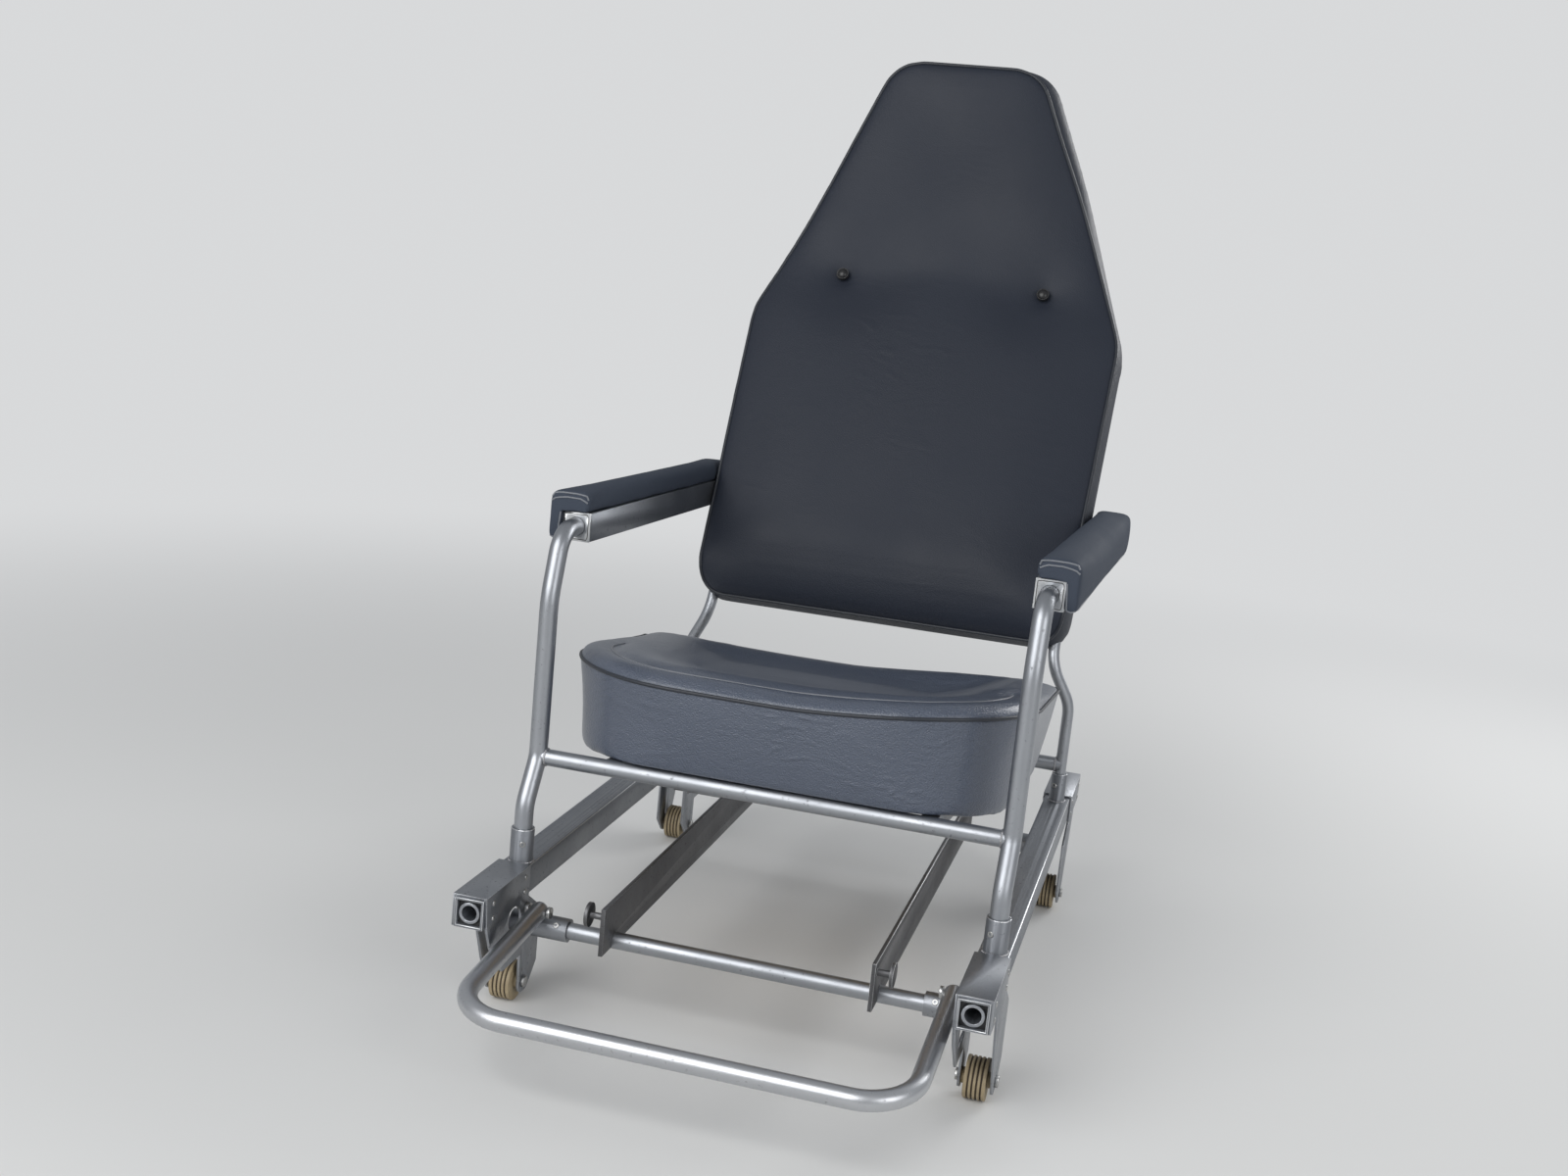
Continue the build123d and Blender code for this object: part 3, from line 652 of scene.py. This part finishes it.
def stuffed(name, base, cell, held, most, force, calm):
    """Foam pressed out against its vinyl, by most metres at the farthest. The cloth swells
    except where held() sews it down, and calm evens the swelling out."""
    piece = new_object(name, base)
    remeshed(piece, cell)
    even = piece.modifiers.new("even", "SMOOTH")
    even.factor = 0.5
    even.iterations = 5
    settle(piece)
    rest = places_of(piece.data)
    steps = 20
    sewn = piece.vertex_groups.new(name="sewn")
    weights = held(rest)
    for index in np.nonzero(weights > 0.02)[0]:
        sewn.add([int(index)], float(weights[index]), "REPLACE")
    cloth = piece.modifiers.new("vinyl", "CLOTH")
    skin = cloth.settings
    skin.quality = 5
    skin.mass = 0.25
    skin.tension_stiffness = 14
    skin.compression_stiffness = 14
    skin.shear_stiffness = 6
    skin.bending_stiffness = 0.4
    skin.use_pressure = True
    skin.uniform_pressure_force = force
    skin.vertex_group_mass = "sewn"
    skin.effector_weights.gravity = 0
    cloth.collision_settings.use_collision = False
    cloth.point_cache.frame_start = 1
    cloth.point_cache.frame_end = steps
    for step in range(1, steps + 1):
        scene.frame_set(step)
    swollen = places_of(evaluated_mesh(piece))
    piece.modifiers.clear()
    piece.vertex_groups.clear()
    move = swollen - rest
    length = np.maximum(np.linalg.norm(move, axis=1), 1e-9)
    move *= (most * np.tanh(length / most) / length)[:, None]
    ends = np.empty(len(piece.data.edges) * 2, int)
    piece.data.edges.foreach_get("vertices", ends)
    one, other = ends[0::2], ends[1::2]
    joined = np.bincount(ends, minlength=len(rest))[:, None]
    free = 1 - np.clip(weights, 0, 1)[:, None]
    for _ in range(calm):
        total = np.zeros_like(move)
        np.add.at(total, one, move[other])
        np.add.at(total, other, move[one])
        move = free * (0.5 * move + 0.5 * total / joined)
    piece.data.vertices.foreach_set("co", (rest + move).ravel())
    scene.frame_set(1)
    finer = piece.modifiers.new("finer", "SUBSURF")
    finer.levels = finer.render_levels = 1
    settle(piece)
    piece.data.name = name
    smooth_faces(piece.data)
    return piece


seat_tilt = radians(6.8)
seat_across = Vector((1, 0, 0))
seat_along = Vector((0, cos(seat_tilt), -sin(seat_tilt)))
seat_up = Vector((0, sin(seat_tilt), cos(seat_tilt)))
seat_base = Vector((0, seat_front_y, seat_front_z)) + seat_up * 0.0103 - seat_along * 0.011
piping_height = 0.099
roll_width = 0.038


def seat_place(u, v, w):
    return seat_base + seat_across * u + seat_along * v + seat_up * w


def seat_plan(inset, count=260):
    """Seat seen from above, in metres: bowed front, wide front corners."""
    half, front, back = 0.286 - inset, -0.022 + inset * 0.95, 0.432 - inset
    big, small = max(0.165 - inset, 0.03), max(0.07 - inset, 0.02)
    outline = rounded((
        (0, front), (half, front), (half, back), (-half, back), (-half, front),
    ), (0, big, small, small, big), 0.004)
    reach = np.clip(1 - (outline[:, 1] - front) / 0.165, 0, 1)
    outline[:, 1] += 0.008 * (outline[:, 0] / 0.286) ** 2 * reach
    return evenly(outline, count)


def ease(value):
    value = np.clip(value, 0, 1)
    return value * value * (3 - 2 * value)


def seam_lift(u):
    """The piping stands higher at the corners, most at the right one."""
    return 0.009 * (u / 0.28) ** 4 + 0.013 * ease(u / 0.23)


def seat_ring(outline, heights):
    return np.array([seat_place(u, v, w) for (u, v), w in zip(outline, heights)])


seat_edge = seat_plan(0)
foot_half, foot_back = 0.266, 0.415
seat_foot = evenly(rounded((
    (0, 0), (foot_half, 0), (foot_half, foot_back), (-foot_half, foot_back), (-foot_half, 0),
), (0, 0.125, 0.050, 0.050, 0.125), 0.004), 260)
edge_height = piping_height + seam_lift(seat_edge[:, 0])
seat_rings = []
for part in np.linspace(0, 1, 9):
    outline = seat_foot + (seat_edge - seat_foot) * part
    squeeze = 1 - 0.006 * np.sin(pi * part) - 0.010 * (1 - ease(part / 0.12))
    seat_rings.append(seat_ring(outline * squeeze, edge_height * part))
for inset in (0.004, 0.010, 0.018, 0.028, roll_width):
    outline = seat_plan(inset)
    climb = np.sqrt(1 - (1 - min(1, inset / roll_width / 0.8)) ** 2)
    rise = 0.0170 * climb - 0.003 * ease((inset / roll_width - 0.8) / 0.2)
    low_behind = 1 - 0.55 * ease((outline[:, 1] - 0.10) / 0.25)
    seat_rings.append(seat_ring(outline, piping_height + seam_lift(outline[:, 0]) + rise * low_behind))
# The roll's seam is sewn round the seat's front part only.
seam_end = 0.17
around = seat_rings[-1]
turning = int(np.argmax((around - np.array(seat_base)) @ np.array(seat_along) > seam_end))
sewn_seam = np.vstack((around[-turning:], around[:turning]))
for inset in (0.055, 0.08, 0.11, 0.15, 0.20):
    outline = seat_plan(inset)
    low_behind = 1 - 0.55 * ease((outline[:, 1] - 0.10) / 0.25)
    lift = seam_lift(outline[:, 0]) * (1 - ease((inset - 0.04) / 0.15))
    dish = 0.015 * ease((inset - roll_width) / 0.12)
    seat_rings.append(seat_ring(outline, piping_height + lift + 0.015 * low_behind - dish))
piping_line = seat_ring(seat_edge, edge_height)


def seat_held(places):
    low = (places - np.array(seat_base)) @ np.array(seat_up)
    return np.maximum(nearness(places, (piping_line, sewn_seam), 0.006), np.clip(1.6 - low / 0.006, 0, 1))


seat_cushion = stuffed("seat_cushion", loft(seat_rings), 0.005, seat_held, 0.010, 4.5, 3)

# Shader group for vinyl: a pebbled grain, soft creases and a handled, uneven shine.
grain, given = node_group(
    "ShaderNodeTree", "vinyl_grain",
    {"Pebble Scale": "Float", "Crease Scale": "Float"},
    {"Height": "Float", "Wear": "Float"},
)
where = object_place(grain)
pebbles = add(grain, "ShaderNodeTexVoronoi", {
    "Vector": where, "Scale": given["Pebble Scale"],
}, feature="SMOOTH_F1")
pebble_height = math_node(grain, "MULTIPLY", pebbles.outputs["Distance"], -0.35)
bend = add(grain, "ShaderNodeTexNoise", {"Vector": where, "Scale": 9.0, "Detail": 2.0})
flattened = add(grain, "ShaderNodeMapping", {"Vector": where, "Scale": (0.30, 0.30, 1.5)})
bent = add(grain, "ShaderNodeVectorMath", {
    0: bend.outputs["Color"], 1: (0.10, 0.10, 0.10), 2: flattened.outputs[0],
}, operation="MULTIPLY_ADD")
creases = noise(grain, bent.outputs[0], given["Crease Scale"], 5.0, 0.55, noise_type="RIDGED_MULTIFRACTAL")
creased = spread(grain, noise(grain, where, 8.0, 2.0), 0.34, 0.58, 0.0, 0.9)
add(grain, "NodeGroupOutput", {
    "Height": math_node(grain, "ADD", pebble_height, math_node(grain, "MULTIPLY", creases, creased)),
    "Wear": noise(grain, where, 6.0, 5.0),
})


def vinyl(name, colour, worn, roughness, relief, creasing=60.0, shine=0.1, gloss=0.38, depth=1.2):
    """Vinyl in two tones; its grain and creases are depth millimetres deep."""
    made = new_material(name, colour, roughness)
    tree = made.node_tree
    scales = {"Pebble Scale": 620.0, "Crease Scale": creasing}
    surface = add(tree, "ShaderNodeGroup", scales, node_tree=grain).outputs
    wear = surface["Wear"]
    shade(made, {
        "Coat Weight": shine,
        "Coat Roughness": 0.28,
        "Specular IOR Level": gloss,
        "Base Color": blend_colours(tree, wear, colour, worn),
        "Roughness": spread(tree, wear, 0.3, 0.7, roughness - 0.07, roughness + 0.07),
        "Normal": relief_of(tree, surface["Height"], relief, depth * MM),
    })
    return made


seat_vinyl = vinyl("seat_vinyl", (0.058, 0.073, 0.107), (0.074, 0.090, 0.126), 0.38, 0.9, 70.0, 0.7, 0.5, 4.0)
welt_vinyl = vinyl("welt_vinyl", (0.020, 0.023, 0.030), (0.030, 0.034, 0.042), 0.42, 0.25)
seam_vinyl = vinyl("seam_vinyl", (0.150, 0.160, 0.180), (0.190, 0.200, 0.220), 0.38, 0.20)


def hollowed(pad, rings):
    """Cuts a hollow into a pad where it lies against wood or metal."""
    former = new_object("former", loft(rings))
    cut = pad.modifiers.new("hollow", "BOOLEAN")
    cut.operation = "DIFFERENCE"
    cut.object = former
    cut.solver = "EXACT"
    settle(pad)
    bpy.data.objects.remove(former)


board_half, board_front, board_back, board_top = 0.2563, 0.0097, 0.4053, 0.0103
recess = evenly(rounded((
    (0, board_front), (board_half, board_front), (board_half, board_back), (-board_half, board_back),
    (-board_half, board_front),
), (0, 0.115, 0.018, 0.018, 0.115), 0.006), 120)
hollowed(seat_cushion, [seat_ring(recess, np.full(len(recess), low)) for low in (-0.03, board_top)])


def upholstered(piece, finish, node):
    """Material and body for a finished pad, which takes the CAD pad's place."""
    piece.data.materials.clear()
    piece.data.materials.append(finish)
    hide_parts(node)
    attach(piece, "chair")


upholstered(seat_cushion, seat_vinyl, "seat_pad")

# Geometry Nodes tree for a piping: a round cord of one radius along a path.
piping_tree, given = node_group(
    "GeometryNodeTree", "piping_along_seam",
    {"Geometry": "Geometry", "Radius": "Float", "Step": "Float", "Finish": "Material"},
    {"Geometry": "Geometry"},
)
evened = add(piping_tree, "GeometryNodeResampleCurve", {
    "Curve": given["Geometry"], "Length": given["Step"],
}, mode="LENGTH")
section = add(piping_tree, "GeometryNodeCurvePrimitiveCircle", {"Resolution": 10, "Radius": given["Radius"]})
cord = add(piping_tree, "GeometryNodeCurveToMesh", {
    "Curve": evened.outputs["Curve"], "Profile Curve": section.outputs["Curve"], "Fill Caps": True,
})
smooth = add(piping_tree, "GeometryNodeSetShadeSmooth", {0: cord.outputs["Mesh"]})
end_tree(piping_tree, smooth.outputs[0], given["Finish"])


def surface_of(mesh):
    return BVHTree.FromPolygons([v.co for v in mesh.vertices], [tuple(p.vertices) for p in mesh.polygons])


def laid_on(pad, line, lift):
    """The line laid on the pad's surface, standing out by lift."""
    surface = surface_of(pad.data)
    laid = []
    for point in line:
        place, normal, _, _ = surface.find_nearest(Vector(point))
        laid.append(place + normal * lift)
    return laid


def piping(name, runs, radius, finish):
    """A cord along each run, with a radius in millimetres."""
    values = {"Radius": radius * MM, "Step": 0.005, "Finish": finish}
    piece_from(path_object(name, runs), piping_tree, values)


piping("seat_piping", [(laid_on(seat_cushion, piping_line, 0.0006), True)], 2.2, welt_vinyl)
piping("seat_top_seam", [(laid_on(seat_cushion, sewn_seam, 0.0002), False)], 1.2, seam_vinyl)

# Armrests: square tube with an end plate, under a long L-shaped pad that covers the top and
# the outer side. The vinyl is folded over the front end and sewn down the corner.
for side in ("left", "right"):
    finished(f"arm_tube_{side}", f"arm_square_tube_{side}", anodised, 0.9)
    finished(f"arm_end_plate_{side}", f"arm_plate_{side}", rubbed_edge, 0.7)
arm_front_y, arm_height = -0.21088, 0.557
arm_splay, arm_droop = radians(1.0), radians(2.2)
# The arm pads' vinyl is the seat's vinyl made darker: painted shade on the pads.
arm_vinyl = vinyl("arm_vinyl", (0.046, 0.056, 0.076), (0.057, 0.068, 0.090), 0.72, 0.45, 60.0, 0.0, 0.10)
joint_grime = new_material("joint_grime", (0.030, 0.029, 0.028), 0.7)
pad_front, pad_length = -0.008, 0.634
pad_rings = (
    (0.002, 0.90), (0.0, 0.97), (0.003, 1.0), (0.10, 1.0), (0.30, 1.0), (0.50, 1.0),
    (pad_length - 0.006, 1.0), (pad_length - 0.002, 0.97), (pad_length - 0.003, 0.90),
)
# The pad's section, seen from the front: the tube's corner, the leg outside it, and the top.
tube_half = 0.0178
pad_leg, pad_top, pad_inner = tube_half + 0.0155, tube_half + 0.0245, -0.0172
pad_section = evenly(rounded((
    (pad_inner, tube_half), (tube_half, tube_half), (tube_half, pad_inner), (pad_leg, pad_inner),
    (pad_leg, pad_top), (pad_inner, pad_top),
), (0.003, 0.002, 0.003, 0.004, 0.010, 0.008), 0.002), 90)
pad_middle = np.array((0.008, 0.018))
tube_corner = ((tube_half, tube_half), (-0.030, tube_half), (-0.030, -0.030), (tube_half, -0.030))
# Sewn folds at the pad's front end and along its foot, as (across, up, along) points.
pad_folds = (
    ((-0.017, 0.034, 0), (-0.013, 0.0405, 0), (0.0, 0.0425, 0), (0.02, 0.0425, 0), (0.030, 0.040, 0),
     (0.0335, 0.034, 0)),
    ((-0.016, 0.030, 0), (-0.006, 0.0345, 0), (0.012, 0.0350, 0), (0.026, 0.0325, 0), (0.0335, 0.0285, 0)),
    ((0.0185, 0.016, 0), (0.0190, 0.0, 0), (0.0195, -0.0165, 0)),
    ((0.020, -0.0172, 0), (0.027, -0.0180, 0), (0.0325, -0.0165, 0.002), (0.0335, -0.0170, 0.03),
     (0.0335, -0.0172, 0.30), (0.0335, -0.0172, 0.61)),
)
plate_half = 0.0151
for side, s in (("left", -1), ("right", 1)):
    arm_dir = Vector((s * sin(arm_splay) * cos(arm_droop), cos(arm_splay) * cos(arm_droop), -sin(arm_droop)))
    arm_across = Vector((cos(arm_splay), -s * sin(arm_splay), 0))
    arm_up = arm_across.cross(arm_dir)
    arm_origin = Vector((s * half_gauge, arm_front_y, arm_height))

    def arm_place(x, y, along):
        return arm_origin + arm_across * x + arm_up * y + arm_dir * along

    section, middle = pad_section * (s, 1), pad_middle * (s, 1)
    arm_rings = []
    for along, shrink in pad_rings:
        ring = middle + (section - middle) * shrink
        arm_rings.append(np.array([arm_place(x, y, pad_front + along) for x, y in ring]))

    def arm_held(places):
        local = places - np.array(arm_origin)
        x, y = s * (local @ np.array(arm_across)), local @ np.array(arm_up)
        return np.where((x < tube_half + 0.002) & (y < tube_half + 0.003), 1.0, 0.0)

    arm_cushion = stuffed(f"arm_cushion_{side}", loft(arm_rings), 0.004, arm_held, 0.0045, 3.0, 4)
    hollowed(arm_cushion, [
        np.array([arm_place(s * x, y, pad_front + along) for x, y in tube_corner]) for along in (-0.02, 0.66)
    ])
    upholstered(arm_cushion, arm_vinyl, f"arm_pad_{side}")
    plate_joint = [
        arm_place(x * plate_half, y * plate_half, 0.0003) for x, y in ((-1, -1), (1, -1), (1, 1), (-1, 1))
    ]
    piping(f"arm_plate_joint_{side}", [(plate_joint, True)], 0.6, joint_grime)
    folds = [[arm_place(s * x, y, pad_front + along) for x, y, along in fold] for fold in pad_folds]
    folds = [(laid_on(arm_cushion, fold, 0.0003), False) for fold in folds]
    piping(f"arm_seams_{side}", folds, 1.1, seam_vinyl)

# Backrest: a foam slab in dark vinyl on a board. The front panel meets the side band in a
# piping, and two buttons pull the front in below the shoulders.
back_foot_y, back_foot_z = 0.233119, 0.417
lean, head_lean = radians(29.5), radians(2.0)
neck_z = 0.928
neck_y = back_foot_y + (neck_z - back_foot_z) * tan(lean)
bend_radius = 0.380
half_turn = (lean - head_lean) / 2
tangent = bend_radius * tan(half_turn)
bend_low = neck_z - tangent * cos(lean)
bend_high = neck_z + tangent * cos(head_lean)
bend_centre_y = neck_y - tangent * sin(lean) - bend_radius * cos(lean)
bend_centre_z = bend_low + bend_radius * sin(lean)
foot_depth, head_depth = 0.078, 0.050
rear_foot_y = back_foot_y + foot_depth * cos(lean)
rear_foot_z = back_foot_z - foot_depth * sin(lean)
rear_neck_y = neck_y + head_depth / cos(half_turn) * cos(head_lean + half_turn)
rear_neck_z = neck_z - head_depth / cos(half_turn) * sin(head_lean + half_turn)
rear_slope = (rear_neck_y - rear_foot_y) / (rear_neck_z - rear_foot_z)


def back_front(z):
    """Y of the front face and its lean from upright, at a height."""
    if z <= bend_low:
        return back_foot_y + (z - back_foot_z) * tan(lean), lean
    if z >= bend_high:
        return neck_y + (z - neck_z) * tan(head_lean), head_lean
    turn = np.arcsin((bend_centre_z - z) / bend_radius)
    return bend_centre_y + bend_radius * cos(turn), turn


def back_place(x, z, depth):
    """A point behind the front face; depth 0 is the front, 1 the board behind."""
    y, turn = back_front(z)
    body = (rear_foot_y + (z - rear_foot_z) * rear_slope - y) / (cos(turn) + rear_slope * sin(turn))
    head = (rear_neck_y + (z - rear_neck_z) * tan(head_lean) - y) / (cos(turn) + tan(head_lean) * sin(turn))
    rounding = 0.014
    thickness = -rounding * np.logaddexp(-body / rounding, -head / rounding) * depth
    return np.array((x, y + thickness * cos(turn), z - thickness * sin(turn)))


def back_outline(inset, count=360):
    """Front panel's outline, in metres, inset from the seam."""
    foot, shoulder, crown = 0.270 - inset, 0.281 - inset, 0.113 - inset * 0.8
    bottom, shoulder_z, top = back_foot_z + inset, 0.813, 1.195 - inset
    foot_round, shoulder_round, crown_round = (
        max(radius - inset * share, 0.02) for radius, share in ((0.036, 0.3), (0.09, 0.2), (0.06, 0.5)))
    return evenly(rounded((
        (0, bottom), (foot, bottom), (shoulder, shoulder_z), (crown, top), (-crown, top),
        (-shoulder, shoulder_z), (-foot, bottom),
    ), (
        0, foot_round, shoulder_round, crown_round, crown_round, shoulder_round, foot_round,
    ), 0.004), count)


button_places = [np.array((s * 0.153, 0.871)) for s in (-1, 1)]


def dimple(outline):
    """How far the buttons pull the front panel in, in metres."""
    pull = np.zeros(len(outline))
    for button in button_places:
        gap = np.linalg.norm(outline - button, axis=1)
        pull += 0.007 * np.exp(-(gap / 0.016) ** 2) + 0.006 * np.exp(-(gap / 0.055) ** 2)
    return pull


def back_ring(outline, depth, forward=0.0):
    """The outline laid into the back at a share of its depth, then moved forward."""
    depths, forwards = (np.broadcast_to(value, len(outline)) for value in (depth, forward))
    ring = []
    for (x, z), share, out in zip(outline, depths, forwards):
        _, turn = back_front(z)
        ring.append(back_place(x, z, share) + out * np.array((0, -cos(turn), sin(turn))))
    return np.array(ring)


def on_cover(outline):
    """The front panel sits a little to the left, so that more of the right band shows."""
    placed = outline.copy()
    placed[:, 0] -= ease(outline[:, 0] / 0.08) * (0.0065 + 0.0035 * ease((outline[:, 1] - 1.0) / 0.12))
    return placed


back_seam = back_outline(0.0)
seam_depth = 0.13 + 0.35 * (1 - ease((back_seam[:, 1] - back_foot_z) / 0.035))
back_rings = []
for share in (1.0, 0.83, 0.66, 0.48, 0.31, 0.15):
    hump = 1 - (2 * share - 1) ** 2
    outline = back_seam + (on_cover(back_seam) - back_seam) * (1 - share) ** 2
    outline[:, 0] += hump * (
        0.003 * np.clip(back_seam[:, 0] / 0.05, -1, 1)
        + 0.006 * ease(back_seam[:, 0] / 0.08) * ease((back_seam[:, 1] - 0.88) / 0.2))
    back_rings.append(back_ring(outline, seam_depth + (1 - seam_depth) * share))
back_rings.append(back_ring(on_cover(back_seam), seam_depth))
back_seam_line = back_rings[-1].copy()
for inset in (0.002, 0.006, 0.013, 0.024, 0.040, 0.065):
    outline = on_cover(back_outline(inset))
    flat = 1 - (1 - min(1, inset / 0.065)) ** 2.6
    back_rings.append(back_ring(outline, seam_depth * (1 - flat ** 0.5), 0.004 * flat))
innermost = on_cover(back_outline(0.094))
for share in (1.0, 0.8, 0.6, 0.4, 0.2):
    back_rings.append(back_ring(innermost * (share, 1), 0.0, 0.004))
for share in (0.8, 0.6, 0.4, 0.2):
    back_rings.insert(0, back_ring(back_seam * (share, 1), 1.0))
back_shell = loft(back_rings, zipped=True)


def back_held(places):
    weights = nearness(places, (back_seam_line,), 0.006)
    rear = np.array([back_place(x, min(max(z + 0.02, back_foot_z), 1.19), 1.0)[1] for x, _, z in places])
    weights = np.maximum(weights, np.clip((places[:, 1] - rear + 0.010) / 0.006, 0, 1))
    for button in button_places:
        spot = back_place(button[0], button[1], 0.0)
        weights = np.maximum(weights, np.clip(1.4 - np.linalg.norm(places - spot, axis=1) / 0.016, 0, 1))
    return weights


def pull_in(mesh):
    """Presses the buttons' dimples into the base shape."""
    places = places_of(mesh)
    for index, (x, y, z) in enumerate(places):
        front, turn = back_front(z)
        if y < front + 0.025:
            pull = dimple(np.array([(x, z)]))[0]
            places[index] += pull * np.array((0, cos(turn), -sin(turn)))
    mesh.vertices.foreach_set("co", places.ravel())


dense = new_object("back_base", back_shell)
remeshed(dense, 0.006)
back_shell = evaluated_mesh(dense)
bpy.data.objects.remove(dense)
pull_in(back_shell)
back_vinyl = vinyl("back_vinyl", (0.019, 0.023, 0.034), (0.024, 0.029, 0.042), 0.50, 0.5, 45.0, 0.03, 0.24)
back_cushion = stuffed("back_cushion", back_shell, 0.006, back_held, 0.008, 3.5, 70)
upholstered(back_cushion, back_vinyl, "back_pad")
piping("back_piping", [(laid_on(back_cushion, back_seam_line, 0.0008), True)], 2.6, welt_vinyl)

# Buttons: domes of black plastic with a rim. Each is tied through the foam and pulls the
# vinyl in round it.
black_plastic = new_material("black_plastic", (0.012, 0.012, 0.013), 0.32)
dome = turned((
    (7.0, -6.0), (9.2, -4.0), (9.6, -0.5), (9.0, 1.3), (7.8, 1.3), (7.0, 2.6), (4.8, 4.1), (1.2, 4.8),
))
dome_places = []
for button in button_places:
    _, turn = back_front(button[1])
    outward = Vector((0, -cos(turn), sin(turn)))
    dome_places.append((Vector(back_place(*button, 0.0)) + outward * 0.0026, outward))
domes = fasteners("back_button_domes", dome, dome_places, black_plastic, 6)
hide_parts("back_buttons")

# Rear cover: a dark grained board over the back of the foam. Steel screws in cup washers,
# pressed into the board, hold it along its edge.
board, board_grain = mottled(
    "back_board", (0.030, 0.032, 0.036), (0.022, 0.023, 0.026), (0.042, 0.044, 0.049), 0.6, 420.0, 3.0)
shade(board, {"Normal": relief_of(board.node_tree, board_grain, 0.35, 0.6 * MM)})
cover = finished("back_panel", "back_cover_board", board, 0.8)
cover_surface = surface_of(cover.data)
screw_inset, screw_count = 0.030, 22
behind_board = 1.6
cup_washer = turned((
    (6.4, -0.5), (6.4, -0.1), (4.9, 0.6), (4.0, 0.7), (3.8, 0.35), (3.4, 0.7), (2.0, 1.0), (0.5, 1.05),
))
washer_places = []
for x, z in back_outline(screw_inset, screw_count):
    place, normal, _, _ = cover_surface.find_nearest(Vector(back_place(x, z, behind_board)))
    if normal.y > 0.5:
        washer_places.append((place, normal))
fasteners("back_cover_screws", cup_washer, washer_places, screw_steel, 9)

# Foot loop: one aluminium tube bent to a loop, bright from handling. It swings up on two
# steel bolts through the front saddles.
bright_tube = metal("bright_tube", (0.60, 0.61, 0.63), (0.46, 0.47, 0.49), 0.36, 0.07, 0.3, 0.05)
finished("foot_loop", "foot_rest_loop", bright_tube, body="foot_loop")
finished("loop_pivots", "loop_pivot_bolts", screw_steel, 0.3)

# Handles: straight aluminium tubes, pulled out to carry the chair. They slide in black
# plastic bushes in the runners' open ends.
for end, side in corners:
    handle = f"handle_{end}_{side}"
    finished(handle, f"carrying_{handle}", satin_tube, 0.3, body=handle)
finished("handle_bushes", "handle_guide_bushes", black_plastic, 0.3)

# Catch plates: flat grey bars on edge under the seat, notched over the cross tubes. Each has
# two mushroom-headed pins that lock the chair down.
catch_grey = metal("catch_grey", (0.19, 0.19, 0.195), (0.12, 0.12, 0.125), 0.52, 0.07, 0.4, 0.04)
for side in ("left", "right"):
    finished(f"catch_plate_{side}", f"catch_bar_{side}", catch_grey, 0.5, rubbed_edge)
